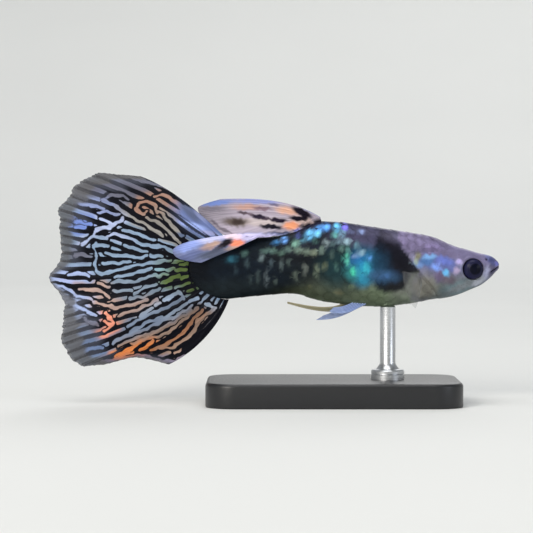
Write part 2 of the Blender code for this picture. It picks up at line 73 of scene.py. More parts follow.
STATIONS = (
    (0.00, 0.10, -0.12, 0.34, 0.00, 2.0, 2.0),
    (0.12, 0.42, -0.30, 0.56, 0.02, 2.1, 2.0),
    (0.35, 0.68, -0.58, 0.74, 0.02, 2.2, 2.0),
    (0.80, 1.00, -1.10, 0.96, 0.00, 2.4, 2.0),
    (1.40, 1.19, -1.62, 1.17, 0.00, 2.6, 2.0),
    (2.00, 1.31, -2.02, 1.36, -0.05, 2.7, 1.9),
    (3.00, 1.61, -2.44, 1.56, -0.10, 2.6, 1.9),
    (4.00, 1.90, -2.86, 1.71, -0.20, 2.5, 1.85),
    (5.00, 2.25, -3.16, 1.85, -0.30, 2.4, 1.85),
    (6.00, 2.72, -3.34, 1.98, -0.35, 2.3, 1.85),
    (7.10, 3.12, -3.50, 2.10, -0.40, 2.2, 1.9),
    (9.10, 3.48, -3.88, 2.22, -0.45, 2.1, 1.95),
    (12.2, 3.95, -4.20, 2.20, -0.40, 2.0, 2.0),
    (14.2, 4.26, -4.16, 2.10, -0.30, 2.0, 2.0),
    (16.3, 4.55, -3.92, 1.95, -0.10, 1.95, 2.0),
    (18.1, 4.62, -3.66, 1.80, 0.10, 1.9, 1.95),
    (19.4, 4.28, -3.33, 1.68, 0.10, 1.9, 1.9),
    (20.4, 3.80, -2.98, 1.58, 0.05, 1.9, 1.9),
    (21.4, 3.40, -2.86, 1.47, 0.00, 1.9, 1.9),
    (23.5, 3.05, -3.00, 1.26, -0.10, 1.9, 1.9),
    (25.5, 2.98, -3.18, 1.04, -0.20, 2.0, 2.0),
    (27.8, 3.02, -3.42, 0.82, -0.20, 2.3, 2.3),
)
STEM_ROUND_START, STEM_ROUND_LENGTH = 27.8, 4.2
STEM_HALF_HEIGHT, STEM_LEVEL = 3.22, -0.20
STEM_RIM_HALF_WIDTH, STEM_RIM_SQUARENESS = 0.42, 3.0
GILL_EDGE = ((-3.7, 5.7), (-2.6, 6.4), (-1.5, 7.3), (-0.4, 8.3), (0.8, 8.7), (2.0, 8.35), (3.5, 7.6))
GILL_RISE, GILL_RISE_LENGTH, GILL_LEVEL, GILL_REACH = 0.13, 2.4, -0.3, 2.6
EYE_PLACE, EYE_LEVEL, EYE_SIDE = 2.78, -0.28, 1.10
EYE_RADIUS, EYE_DEPTH = 1.10, 0.74
MOUTH_CORNER, MOUTH_DROP, MOUTH_OPENING = 0.95, 0.60, 0.14
LIP_RISE, LIP_HALF_WIDTH = 0.07, 0.13
NOSTRIL_PLACE, NOSTRIL_LEVEL, NOSTRIL_RADIUS = 1.36, 0.74, 0.13
FIN_GAP = 0.3  # between a solid fin's root and the body

TAIL_MARGIN = (
    (0.00, 36.8, 9.2), (0.06, 39.1, 9.4), (0.12, 41.1, 9.5), (0.19, 43.0, 8.6), (0.26, 44.2, 6.9),
    (0.30, 45.1, 5.9), (0.38, 45.1, 3.5), (0.46, 45.2, 0.4), (0.515, 46.3, -1.5), (0.56, 44.8, -3.4),
    (0.64, 44.7, -5.7), (0.71, 44.8, -7.7), (0.78, 43.3, -10.0), (0.86, 40.9, -10.2),
    (0.93, 37.4, -9.5), (1.00, 33.9, -10.2),
)
TAIL_ANGLES = ((0.0, 44.0, 20.0), (0.25, 22.0, 20.0), (0.46, 0.0, 2.0), (0.75, -34.0, -22.0), (1.0, -68.0, -26.0))
TAIL_ROOT_TURNS = (82.0, -90.0)
TAIL_WAVES, TAIL_WAVE_HEIGHT, TAIL_CAMBER = 2.3, 0.75, 0.9

DORSAL_FRONT, DORSAL_REAR = 18.15, 21.2
DORSAL_MARGIN = (
    (0.00, 28.6, 6.85), (0.09, 30.1, 6.4), (0.18, 30.9, 5.9), (0.36, 30.3, 4.75), (0.49, 28.9, 3.5),
    (0.55, 27.6, 3.05), (0.61, 28.0, 2.95), (0.67, 30.2, 2.8), (0.73, 32.4, 2.3), (0.81, 33.4, 1.6),
    (0.90, 32.7, 0.75), (1.00, 30.5, 0.35),
)
DORSAL_ANGLES = ((0.0, 33.0, -3.0), (0.2, 21.0, -8.0), (0.5, 4.0, -12.0), (0.7, -8.0, -10.0), (1.0, -14.0, -24.0))
DORSAL_FOLD = (0.32, 0.78)
DORSAL_FOLD_RISE, DORSAL_FOLD_DROP = 0.6, 27.5
DORSAL_OVER, DORSAL_CLEAR = 26.8, 0.78
DORSAL_REST = 0.8  # how far the fold of the finished fin comes down onto the back
DORSAL_LEAN, DORSAL_LEAN_REACH = 1.3, (20.5, 28.2)

PECTORAL_ROOT = ((8.55, -0.75), (8.15, -1.95))
PECTORAL_LENGTHS = ((0.0, 3.9), (0.35, 4.7), (0.7, 4.2), (1.0, 3.0))
PECTORAL_DIRECTIONS = ((0.34, 0.92, 0.10), (0.10, 0.72, -0.62))
PELVIC_ROOT = ((13.7, 0.75), (15.2, 0.75))
PELVIC_TIPS = {"right": (17.4, 1.30, -4.15, 0.5), "left": (18.7, 1.30, -5.35, 0.25)}
PELVIC_DROOP, PELVIC_BOW, PELVIC_REAR = 0.15, 0.3, 0.8
ANAL_PATH = ((15.5, -3.5), (16.1, -4.85), (18.6, -4.55), (21.7, -3.75))
ANAL_RADII = (0.30, 0.34, 0.30, 0.25, 0.2, 0.12)
ROD_PLACE = 11.4


def ease(value):
    """0 to 1, starting and ending gently."""
    value = np.clip(value, 0.0, 1.0)
    return value * value * (3 - 2 * value)


def mix(a, b, share):
    return a + (b - a) * share


def table_curve(table, x, column=1):
    """The table's column at each x, on a smooth curve that doesn't overshoot between its rows."""
    xs = np.array([row[0] for row in table])
    ys = np.array([row[column] for row in table])
    slopes = np.diff(ys) / np.diff(xs)
    before, after = slopes[:-1], slopes[1:]
    together = before + after
    same_way = before * after > 0
    inner = np.where(same_way, 2 * before * after / np.where(same_way, together, 1.0), 0.0)
    tangents = np.concatenate(([slopes[0]], inner, [slopes[-1]]))
    x = np.clip(x, xs[0], xs[-1])
    i = np.clip(np.searchsorted(xs, x, side="right") - 1, 0, len(xs) - 2)
    width = xs[i + 1] - xs[i]
    t = (x - xs[i]) / width
    return (
        ys[i] * (1 + 2 * t) * (1 - t) ** 2
        + ys[i + 1] * t * t * (3 - 2 * t)
        + width * tangents[i] * t * (1 - t) ** 2
        - width * tangents[i + 1] * t * t * (1 - t)
    )


def section(d):
    """Top, bottom, half width, widest level and the two squarenesses of the body at each d."""
    d = np.asarray(d, float)
    plain = [table_curve(STATIONS, d, column) for column in range(1, 7)]
    share = np.clip((d - STEM_ROUND_START) / STEM_ROUND_LENGTH, 0.0, 1.0)
    half = STEM_HALF_HEIGHT * np.sqrt(1 - share * share)
    square = mix(STATIONS[-1][5], STEM_RIM_SQUARENESS, share)
    half_width = mix(STATIONS[-1][3], STEM_RIM_HALF_WIDTH, share)
    rounded = [STEM_LEVEL + half, STEM_LEVEL - half, half_width, STEM_LEVEL + 0 * d, square, square]
    return [np.where(d > STEM_ROUND_START, r, p) for r, p in zip(rounded, plain)]


def half_width_at(d, h):
    """Half the body's width at d and height h."""
    top, bottom, half_width, level, square_top, square_bottom = section(d)
    reach = np.where(h > level, top - level, level - bottom)
    square = np.where(h > level, square_top, square_bottom)
    share = np.clip(np.abs(h - level) / reach, 0.0, 1.0)
    return half_width * (1 - share ** square) ** (1 / square)


def belly_at(d, y):
    """Height of the belly's skin at d and y."""
    _, bottom, half_width, level, _, square = section(d)
    return level - (level - bottom) * (1 - (np.abs(y) / half_width) ** square) ** (1 / square)


def body_point(d, turn):
    """The points (d, y, h) of the plain body's surface, turn radians round it from its left side."""
    c, s = np.cos(turn), np.sin(turn)
    top, bottom, half_width, level, square_top, square_bottom = section(d)
    reach = np.where(s > 0, top - level, level - bottom)
    square = np.where(s > 0, square_top, square_bottom)
    y = half_width * np.sign(c) * np.abs(c) ** (2 / square)
    h = level + reach * np.sign(s) * np.abs(s) ** (2 / square)
    return np.stack([d + 0 * turn, y, h], axis=-1)


def body_normal(d, turn):
    """The plain body's outward directions, by small steps along and round it."""
    step = 0.02
    along = body_point(d + step, turn) - body_point(d - step, turn)
    around = body_point(d, turn + step) - body_point(d, turn - step)
    normal = np.cross(around, along)
    return normal / np.maximum(np.linalg.norm(normal, axis=-1, keepdims=True), 1e-9)


def margin_point(table, s):
    """Points (d, h) of a fin's free edge, on a curve through the table's rows."""
    rows = np.array(table)
    i = np.clip(np.searchsorted(rows[:, 0], s, side="right") - 1, 0, len(rows) - 2)
    t = ((s - rows[i, 0]) / (rows[i + 1, 0] - rows[i, 0]))[..., None]
    before, after = rows[np.maximum(i - 1, 0), 1:], rows[np.minimum(i + 2, len(rows) - 1), 1:]
    here, there = rows[i, 1:], rows[i + 1, 1:]
    return (
        (-t + 2 * t * t - t ** 3) * before
        + (2 - 5 * t * t + 3 * t ** 3) * here
        + (t + 4 * t * t - 3 * t ** 3) * there
        + (t ** 3 - t * t) * after
    ) / 2


def ray_point(root, tip, root_angle, tip_angle, t):
    """Points (d, h) along fin rays that leave their roots and reach their tips at the given angles.
    A t below 0 goes on straight into the body."""
    length = np.linalg.norm(tip - root, axis=-1)
    start = length[..., None] * np.stack([np.cos(np.radians(root_angle)), np.sin(np.radians(root_angle))], -1)
    end = length[..., None] * np.stack([np.cos(np.radians(tip_angle)), np.sin(np.radians(tip_angle))], -1)
    inside = np.minimum(t, 0.0)[..., None]
    t = np.maximum(t, 0.0)[..., None]
    a, b = 2 * t ** 3 - 3 * t * t + 1, t ** 3 - 2 * t * t + t
    c, e = 3 * t * t - 2 * t ** 3, t ** 3 - t * t
    return a * root + b * start + c * tip + e * end + inside * start


def tail_place(s, t):
    """Points (d, y, h) of the tail fan's middle surface."""
    turn = np.radians(mix(*TAIL_ROOT_TURNS, s))
    root = np.stack([
        STEM_ROUND_START + (STEM_ROUND_LENGTH + FIN_GAP) * np.cos(turn),
        STEM_LEVEL + (STEM_HALF_HEIGHT + FIN_GAP) * np.sin(turn),
    ], axis=-1)
    angles = [table_curve(TAIL_ANGLES, s, column) for column in (1, 2)]
    place = ray_point(root, margin_point(TAIL_MARGIN, s), *angles, t)
    wave = np.sin(2 * np.pi * TAIL_WAVES * s + 0.6) * TAIL_WAVE_HEIGHT
    return place[..., 0], TAIL_CAMBER * t * t + wave * ease(t) * t, place[..., 1]


def dorsal_place(s, t):
    """Points of the dorsal fin's middle surface. Its rear rays fold over and hang along the right flank."""
    base = mix(DORSAL_FRONT, DORSAL_REAR, s)
    root = np.stack([base, section(base)[0] + FIN_GAP], axis=-1)
    angles = [table_curve(DORSAL_ANGLES, s, column) for column in (1, 2)]
    place = ray_point(root, margin_point(DORSAL_MARGIN, s), *angles, t)
    d, h = place[..., 0], place[..., 1]
    folded = ease((s - DORSAL_FOLD[0]) / (DORSAL_FOLD[1] - DORSAL_FOLD[0]))
    rise = DORSAL_FOLD_RISE * folded * ease((d - base) / 1.4)
    rise = rise * ease((DORSAL_FOLD_DROP - d) / (DORSAL_FOLD_DROP - DORSAL_REAR))
    resting = ease((s - 0.55) / 0.3) * ease((d - base) / 0.5) * (1 - ease((d - 25.0) / 2.5))
    rise = rise - np.minimum(DORSAL_REST * resting, np.maximum(h + rise - section(d)[0] - 0.05, 0.0))
    flank = (section(d)[2] + DORSAL_CLEAR) * ease((d - DORSAL_REAR) / (DORSAL_OVER - DORSAL_REAR))
    left = DORSAL_LEAN * ease((d - DORSAL_LEAN_REACH[0]) / (DORSAL_LEAN_REACH[1] - DORSAL_LEAN_REACH[0]))
    return d, mix(left, -flank, folded), h + rise - ROOT_SINK * ease(-t / 0.02 + 1) * (t < 0.02)


def pectoral_place(sign):
    def place(s, t):
        d, h = (mix(PECTORAL_ROOT[0][k], PECTORAL_ROOT[1][k], s) for k in (0, 1))
        back, out, up = (mix(PECTORAL_DIRECTIONS[0][k], PECTORAL_DIRECTIONS[1][k], s) for k in range(3))
        reach = table_curve(PECTORAL_LENGTHS, s) * t
        root = half_width_at(d, h) + FIN_GAP + 0.1
        droop = 0.35 * t * np.abs(t)
        return d + back * reach + droop, sign * (root + out * reach), h + up * reach - droop * s

    return place


def pelvic_place(sign, tip):
    def place(s, t):
        d, y = (mix(PELVIC_ROOT[0][k], PELVIC_ROOT[1][k], s) for k in (0, 1))
        h = belly_at(d, y)
        t = t * mix(1.0, PELVIC_REAR, s * s)
        bow = (PELVIC_DROOP + PELVIC_BOW * (1 - s)) * np.sin(np.pi * np.clip(t, 0.0, 1.0))
        below = bow + tip[3] * (1 - s) * ease(t)
        up_into_belly = np.where(t < 0, 4.0 * t, 0.0)
        return mix(d, tip[0], t), sign * mix(y, tip[1], t), mix(h, tip[2], t) - below - up_into_belly

    return place


# Small tools

ROOT_SINK = 0.5  # how far a fin's root reaches into the body


def world(d, y, h):
    """Millimetres of the fish to metres of the model."""
    return np.stack([(SNOUT_X - d) * MM, y * MM, (AXIS_HEIGHT + h) * MM], axis=-1)


def in_photo(d, h):
    """Where the photograph shows a point, in its pixels."""
    return SNOUT[0] - d / PIXEL, SNOUT[1] - h / PIXEL


def linear(code):
    """An sRGB hex colour as linear red, green and blue."""
    channels = np.array([int(code[k:k + 2], 16) / 255 for k in (1, 3, 5)])
    return np.where(channels <= 0.04045, channels / 12.92, ((channels + 0.055) / 1.055) ** 2.4)


def rgba(code):
    return (*linear(code), 1.0)


def get_points(mesh):
    flat = np.zeros(len(mesh.vertices) * 3)
    mesh.vertices.foreach_get("co", flat)
    return flat.reshape(-1, 3)


def set_points(mesh, points):
    mesh.vertices.foreach_set("co", np.ascontiguousarray(points, dtype=np.float32).ravel())
    mesh.update()


def put_numbers(mesh, name, values):
    """Stores one number for each vertex, for a material to read."""
    mesh.attributes.new(name, "FLOAT", "POINT").data.foreach_set("value", np.asarray(values, np.float32))


def put_colours(mesh, name, colours):
    """Stores one linear colour for each vertex, for a material to read."""
    flat = np.ones((len(colours), 4), np.float32)
    flat[:, :3] = colours
    mesh.attributes.new(name, "FLOAT_COLOR", "POINT").data.foreach_set("color", flat.ravel())


def noise_line(x, seed, period):
    """Smooth random numbers from -1 to 1 along x, a new one each period."""
    draw = np.random.default_rng(seed).uniform(-1, 1, 512)
    place = np.asarray(x) / period + 17.0
    i = np.floor(place).astype(int)
    return mix(draw[i % 512], draw[(i + 1) % 512], ease(place - i))


def finished(obj, material, nodes=(), smooth=180):
    """Gives a piece its material and smooth shading, and says what it is in the frame."""
    obj.data.materials.clear()
    obj.data.materials.append(material)
    bpy.ops.object.select_all(action="DESELECT")
    bpy.context.view_layer.objects.active = obj
    obj.select_set(True)
    bpy.ops.object.shade_smooth_by_angle(angle=math.radians(smooth))
    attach(obj, "root")
    if nodes:
        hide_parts(*nodes)
    return obj


def outwards(obj):
    """Turns all faces outwards."""
    shape = bmesh.new()
    shape.from_mesh(obj.data)
    bmesh.ops.recalc_face_normals(shape, faces=shape.faces)
    shape.to_mesh(obj.data)
    shape.free()


def apply_modifiers(obj):
    bpy.ops.object.select_all(action="DESELECT")
    bpy.context.view_layer.objects.active = obj
    obj.select_set(True)
    for modifier in list(obj.modifiers):
        bpy.ops.object.modifier_apply(modifier=modifier.name)


# Markings. A mark is its place in the photograph (x, y), its half length, half height and tilt in
# degrees, its colour, its strength and how soft its edge is, as a share of its size.

def coverage(x, y, mark):
    """How much of a mark lies over each place: 1 inside it, 0 beyond its soft edge."""
    mark_x, mark_y, half_length, half_height, tilt, _, strength, soft = mark
    c, s = math.cos(math.radians(tilt)), math.sin(math.radians(tilt))
    along = ((x - mark_x) * c + (y - mark_y) * s) / half_length
    across = ((y - mark_y) * c - (x - mark_x) * s) / half_height
    return strength * (1 - ease((np.hypot(along, across) - 1 + soft) / (2 * soft)))


def jittered(x, y, share):
    """Moves the places about by up to a pixel or two, which gives marks uneven edges."""
    moved_x = x + share * (0.9 * noise_line(y, 61, 3.0) + 0.7 * noise_line(0.8 * x + y, 62, 2.1))
    moved_y = y + share * (0.9 * noise_line(x, 63, 2.8) + 0.7 * noise_line(x - 0.8 * y, 64, 2.0))
    return moved_x, moved_y


def painted(x, y, ground, marks):
    """Colours at the places: the ground colour with the marks laid over it in turn."""
    colours = np.tile(linear(ground), (len(x), 1)) if isinstance(ground, str) else ground
    for mark in marks:
        colours = mix(colours, linear(mark[5]), coverage(x, y, mark)[:, None])
    return colours


def inside_outline(x, y, outline, soft):
    """1 inside a closed outline and 0 outside it, with an edge soft pixels wide."""
    nearest = np.full(len(x), 1e9)
    inside = np.zeros(len(x), bool)
    for (ax, ay), (bx, by) in zip(outline, outline[1:] + outline[:1]):
        share = np.clip(((x - ax) * (bx - ax) + (y - ay) * (by - ay)) / ((bx - ax) ** 2 + (by - ay) ** 2), 0, 1)
        nearest = np.minimum(nearest, np.hypot(x - ax - share * (bx - ax), y - ay - share * (by - ay)))
        crosses = (ay > y) != (by > y)
        inside ^= crosses & (x < (bx - ax) * (y - ay) / np.where(by == ay, 1, by - ay) + ax)
    return ease(0.5 + np.where(inside, nearest, -nearest) / soft)


HEAD_OUTLINE = ((398, 222), (398, 240), (408, 256), (414, 264), (419, 272), (412, 280), (410, 300),
                (440, 310), (520, 290), (520, 240), (440, 222))
PATCH_OUTLINE = ((380, 229), (392, 233), (400, 246), (408, 256), (413, 262), (419, 271), (411, 273),
                 (407, 279), (405, 287), (397, 291), (386, 293), (375, 288), (371, 270), (373, 248))

BODY_MARKS = (
    (300, 300, 110, 12, 0, "#474b34", 0.75, 0.5),
    (225, 275, 60, 34, 0, "#0b1520", 0.95, 0.4),
    (194, 276, 16, 34, 0, "#070b12", 0.9, 0.6),
    (240, 290, 40, 12, 0, "#1c2427", 0.7, 0.6),
    (375, 303, 70, 20, 0, "#6f7e66", 0.95, 0.45),
    (335, 290, 34, 14, 0, "#474d41", 0.7, 0.6),
    (415, 290, 24, 20, 0, "#787c76", 0.9, 0.5),
    (425, 300, 30, 8, 0, "#7c8a76", 0.7, 0.6),
    (372, 236, 40, 14, 5, "#4a4862", 0.9, 0.5),
    (320, 224, 34, 8, -4, "#23233c", 0.8, 0.6),
    (310, 246, 30, 7, 0, "#171d2b", 0.7, 0.6),
    (300, 258, 36, 6, 0, "#0e1218", 0.8, 0.6),
    (340, 268, 20, 20, 0, "#1b373d", 0.8, 0.6),
)
PATCH_MARKS = (
    (362, 266, 14, 18, 0, "#26688c", 0.95, 0.5),
    (363, 271, 8, 13, 0, "#2f8fb0", 0.95, 0.5),
    (357, 260, 8, 8, 0, "#24609a", 0.8, 0.6),
    (378, 266, 10, 16, 0, "#20425c", 0.7, 0.7),
    (382, 276, 16, 6, 0, "#38597d", 0.85, 0.6),
    (391, 236, 10, 6, 10, "#4e4b60", 0.75, 0.6),
    (352, 272, 7, 8, 0, "#3a8a88", 0.7, 0.6),
)
HEAD_MARKS = (
    (430, 243, 44, 16, 12, "#746b8c", 0.95, 0.4),
    (475, 254, 34, 9, 16, "#756f90", 0.95, 0.5),
    (445, 290, 40, 12, -8, "#66706f", 0.9, 0.5),
    (423, 287, 13, 12, 0, "#85837a", 0.9, 0.5),
    (458, 287, 16, 7, -12, "#6c8087", 0.85, 0.5),
    (433, 247.5, 8, 4, 0, "#8277a0", 0.8, 0.6),
    (437, 263, 20, 8, 12, "#626ca2", 0.9, 0.5),
    (426, 261, 7, 4.4, 0, "#4e74aa", 0.9, 0.5),
    (417, 264, 5.5, 2.8, 10, "#6f8fc4", 0.95, 0.5),
    (428, 256.8, 6.4, 2.4, -6, "#80afe4", 1.0, 0.6),
    (444, 260.5, 9, 4, 15, "#6a79c6", 0.95, 0.6),
    (437, 263.5, 3, 2, 0, "#7d93de", 0.9, 0.6),
    (435, 267.4, 4.4, 3.0, 20, "#7f9fec", 1.0, 0.6),
    (444.4, 272.3, 4.4, 2.8, 30, "#6fbcf0", 1.0, 0.6),
    (451, 267, 4.4, 3.4, 0, "#6b74ae", 0.9, 0.6),
    (438, 276.5, 5, 5.5, 0, "#6a5c7c", 0.85, 0.6),
    (447.5, 279.5, 7, 4.4, 0, "#685e6c", 0.85, 0.6),
    (416.5, 256.6, 3.0, 4.4, 10, "#7e7c62", 0.9, 0.6),
    (415.8, 261.4, 2.2, 2.8, 0, "#86948e", 0.9, 0.5),
    (458.2, 261.2, 3.4, 2.8, 0, "#b4aadc", 0.95, 0.6),
    (455, 269.6, 2.8, 3.8, 0, "#ab9dbe", 0.95, 0.6),
    (466, 284, 20, 3.6, -24, "#82888e", 0.85, 0.5),
    (486.0, 272.5, 7.5, 3.2, -66, "#9fa1bf", 0.9, 0.6),
    (477.5, 281.3, 7.5, 2.8, -32, "#aaaebb", 0.95, 0.5),
    # The last four paint the mouth: a dark mark at its opening, and a bluish painted highlight along the upper lip
    (492, 270, 4, 7, 0, "#45425c", 0.8, 0.6),
    (489, 257.4, 7, 3.0, 35, "#626898", 0.9, 0.5),
    (492, 262.4, 4, 3, 35, "#464b78", 0.85, 0.6),
    (497.3, 263.4, 2.0, 3.0, 40, "#6e72b8", 0.9, 0.5),
)
# Painted light and shade on the nape: pale and dark streaks a scale's length apart, as its rows of scales catch the
# light
NAPE = (418, 239, 26, 12, 14, "", 1.0, 0.5)  # where the top of the head is streaked
NAPE_LIT_STREAK, NAPE_PERIOD = 8.22, 0.89  # millimetres: one pale streak, and from each to the next
# Scales that catch the light: painted glints, their bright blues laid over the scales' own iridescent colour
GLINTS = (
    (275.5, 242.4, 4.0, 2.4, 0, "#4683bc", 0.95, 0.5), (284.2, 239.6, 3.6, 3.0, 0, "#6ea4ec", 1.0, 0.5),
    (297.8, 235.4, 2.4, 3.0, 0, "#5f6cba", 0.9, 0.5), (295.6, 243.2, 3.8, 3.8, 0, "#84b4a4", 0.9, 0.5),
    (309.0, 234.4, 4.8, 4.6, 0, "#74c8ff", 1.0, 0.5), (316.5, 232.8, 4.2, 3.6, 0, "#7ccfff", 1.0, 0.5),
    (318.5, 228.8, 5.6, 3.0, -12, "#5fa6f4", 1.0, 0.5), (325.6, 226.6, 4.4, 3.8, 0, "#64acff", 1.0, 0.5),
    (337.0, 227.0, 3.6, 4.6, 0, "#70cafc", 1.0, 0.5), (344.4, 226.6, 3.2, 4.2, 0, "#7e78f2", 1.0, 0.5),
    (341.8, 233.4, 3.0, 3.4, 0, "#9cd3ee", 0.95, 0.5), (334.2, 234.8, 3.4, 3.6, 0, "#67aeac", 0.9, 0.5),
    (347.2, 241.2, 3.4, 3.0, 0, "#badff0", 0.95, 0.5), (339.4, 240.4, 4.2, 3.2, 15, "#7f9eac", 0.85, 0.5),
    (356.2, 244.4, 2.8, 3.4, 0, "#74a4b4", 0.85, 0.5), (360.3, 231.3, 3.6, 2.2, 10, "#8d9fd0", 0.9, 0.5),
    (350.0, 231.0, 3.6, 1.9, 0, "#7a88b8", 0.8, 0.5), (359.6, 252.4, 4.8, 3.2, -20, "#93b8cc", 0.95, 0.5),
    (354.2, 255.6, 3.6, 2.4, -15, "#6e8ab4", 0.9, 0.5), (346.8, 258.8, 2.4, 5.6, -8, "#66d0b4", 0.95, 0.5),
    (351.9, 271.2, 2.6, 4.0, -10, "#52d8b2", 0.95, 0.5), (365.6, 268.0, 3.0, 6.0, 0, "#48cadc", 0.95, 0.5),
    (359.0, 268.5, 3.4, 7.0, 0, "#2f9fc4", 0.8, 0.6), (368.2, 256.8, 2.8, 3.4, 0, "#5896dc", 0.9, 0.5),
    (384.0, 275.5, 5.0, 2.6, 0, "#44699c", 0.8, 0.6), (232, 259, 6, 4, -10, "#2f6478", 0.9, 0.5),
    (332.0, 243.5, 2.4, 3.0, 0, "#6f8e92", 0.8, 0.5), (303.5, 240.6, 3.0, 2.4, 0, "#4f8298", 0.8, 0.5),
)
# Small pale spots and upright dashes on the flank
FLANK_SPOTS = (
    (244.5, 253.4, 3.4, 2.8, 0, "#4c6a66", 0.9, 0.6), (261.5, 257.6, 2.6, 4.2, 12, "#5d6c70", 0.9, 0.6),
    (265.5, 250.3, 4.5, 2.3, 0, "#4a625e", 0.9, 0.6), (273.3, 250.8, 4.2, 2.6, 0, "#4f6862", 0.9, 0.6),
    (281.3, 252.4, 3.2, 2.8, 0, "#4a625a", 0.9, 0.6), (288.7, 249.2, 3.2, 3.0, 0, "#546a66", 0.9, 0.6),
    (298.0, 249.8, 4.0, 2.6, 0, "#61746a", 0.9, 0.6), (305.5, 251.8, 4.0, 2.6, 0, "#6c7c70", 0.9, 0.6),
    (313.2, 252.4, 3.8, 2.6, 0, "#6c7666", 0.9, 0.6), (321.3, 249.6, 2.6, 3.8, 10, "#6c8078", 0.9, 0.6),
    (325.5, 242.8, 3.0, 3.6, 0, "#7c8c92", 0.9, 0.6), (315.0, 240.8, 2.6, 2.2, 0, "#40635f", 0.9, 0.6),
    (305.0, 269.2, 2.3, 5.6, 0, "#666d68", 0.9, 0.6), (316.6, 270.3, 2.5, 6.2, 0, "#677262", 0.9, 0.6),
    (324.5, 266.0, 2.8, 4.2, 20, "#56604e", 0.9, 0.6), (295.5, 275.5, 2.1, 4.6, 0, "#566058", 0.9, 0.6),
    (281.8, 264.0, 1.9, 5.6, 0, "#4c585a", 0.9, 0.6), (266.6, 277.6, 2.0, 8.0, 0, "#515b60", 0.9, 0.6),
    (258.2, 277.0, 2.2, 6.4, 0, "#3d494b", 0.9, 0.6), (271.8, 262.9, 1.8, 4.2, 0, "#44525a", 0.9, 0.6),
    (247.6, 264.0, 2.0, 4.8, 0, "#38484e", 0.9, 0.6), (330.8, 254.5, 1.8, 4.4, 0, "#465a56", 0.9, 0.6),
    (341.3, 248.0, 3.0, 3.2, 0, "#5b7a74", 0.9, 0.6), (347.6, 248.6, 2.0, 4.2, 0, "#588884", 0.9, 0.6),
    (289.0, 262.5, 1.7, 3.6, 0, "#414d4c", 0.9, 0.6), (275.0, 281.5, 1.7, 4.4, 0, "#434e4c", 0.9, 0.6),
    (336.0, 266.0, 1.7, 4.6, 0, "#3f5f5a", 0.9, 0.6), (250.0, 280.0, 1.7, 4.6, 0, "#323d40", 0.9, 0.6),
    (309.0, 287.5, 3.0, 2.0, -15, "#575b44", 0.8, 0.6), (338.0, 292.0, 4.0, 2.4, 0, "#6a6a52", 0.8, 0.6),
    (351.0, 286.0, 3.0, 2.4, 0, "#68785e", 0.8, 0.6), (236.0, 270.0, 1.8, 4.6, 0, "#26343c", 0.9, 0.6),
)


def body_colours(d, h):
    """The fish's skin colours at points of its flank, alike on both sides, with painted light and shade in streaks on
    the nape.
    """
    x, y = jittered(*in_photo(d, h), 1.0)
    colours = painted(x, y, "#161d22", BODY_MARKS)
    colours = painted(x, y, colours, FLANK_SPOTS)
    colours = mix(colours, linear("#15151e"), (0.95 * inside_outline(x, y, PATCH_OUTLINE, 5.0))[:, None])
    colours = painted(x, y, colours, PATCH_MARKS)
    head = painted(x, y, "#74748a", HEAD_MARKS)
    # Painted light and shade: streaks across the nape, one to each row of scales
    slant = d + 0.12 * noise_line(h, 41, 0.5)
    streaks = np.cos(2 * np.pi * (slant - NAPE_LIT_STREAK) / NAPE_PERIOD) + 0.5 * noise_line(slant, 43, 0.2)
    head = head * (1 + 0.17 * streaks * coverage(x, y, NAPE))[:, None]
    return mix(colours, head, inside_outline(x, y, HEAD_OUTLINE, 3.0)[:, None])


# Materials

def feed(tree, node, inputs):
    """Gives a node's inputs their values, or links them to the sockets given."""
    for name, value in inputs.items():
        if isinstance(value, bpy.types.NodeSocket):
            tree.links.new(value, node.inputs[name])
        else:
            node.inputs[name].default_value = value


def add(tree, kind, inputs, **settings):
    """Adds a node with its settings and inputs, and returns it."""
    node = tree.nodes.new(kind)
    for name, value in settings.items():
        setattr(node, name, value)
    feed(tree, node, inputs)
    return node


def new_material(name):
    material = bpy.data.materials.new(name)
    material.use_nodes = True
    tree = material.node_tree
    return material, tree, tree.nodes["Principled BSDF"]


def per_metre(millimetres):
    """The scale that gives a noise grains about this size on Object coordinates in metres."""
    return 1.0 / (millimetres * MM)


def lacquered_skin(name, roughness, coat):
    """Guppy skin: a thin clear layer over silvery and coloured cells. The eye gets soft wet gloss, small
    dark pigment dots and a grain that breaks up the light."""
    material, tree, shader = new_material(name)
    place = add(tree, "ShaderNodeTexCoord", {}).outputs["Object"]
    colour = add(tree, "ShaderNodeAttribute", {}, attribute_name="skin_colour").outputs["Color"]
    shine = add(tree, "ShaderNodeAttribute", {}, attribute_name="shine").outputs["Fac"]
    dots = add(tree, "ShaderNodeTexNoise", {"Vector": place, "Scale": per_metre(0.16), "Detail": 2.0})
    dark = add(tree, "ShaderNodeMapRange", {"Value": dots.outputs["Fac"], "From Min": 0.54, "From Max": 0.70,
                                            "To Min": 1.0, "To Max": 0.80})
    patches = add(tree, "ShaderNodeTexNoise", {"Vector": place, "Scale": per_metre(0.9), "Detail": 1.0})
    uneven = add(tree, "ShaderNodeMapRange", {"Value": patches.outputs["Fac"], "From Min": 0.3, "From Max": 0.7,
                                              "To Min": 0.85, "To Max": 1.15})
    both = add(tree, "ShaderNodeMath", {0: dark.outputs[0], 1: uneven.outputs[0]}, operation="MULTIPLY")
    tinted = add(tree, "ShaderNodeVectorMath", {0: colour, 1: both.outputs[0]}, operation="MULTIPLY")
    grain = add(tree, "ShaderNodeTexNoise", {"Vector": place, "Scale": per_metre(0.09), "Detail": 2.0})
    bump = add(tree, "ShaderNodeBump", {"Height": grain.outputs["Fac"], "Strength": 0.35, "Distance": 0.03 * MM})
    feed(tree, shader, {"Base Color": tinted.outputs[0], "Metallic": shine, "Roughness": roughness,
                        "Normal": bump.outputs[0], "IOR": 1.4, "Specular IOR Level": 0.1, "Coat Weight": coat,
                        "Coat Roughness": 0.18})
    return material


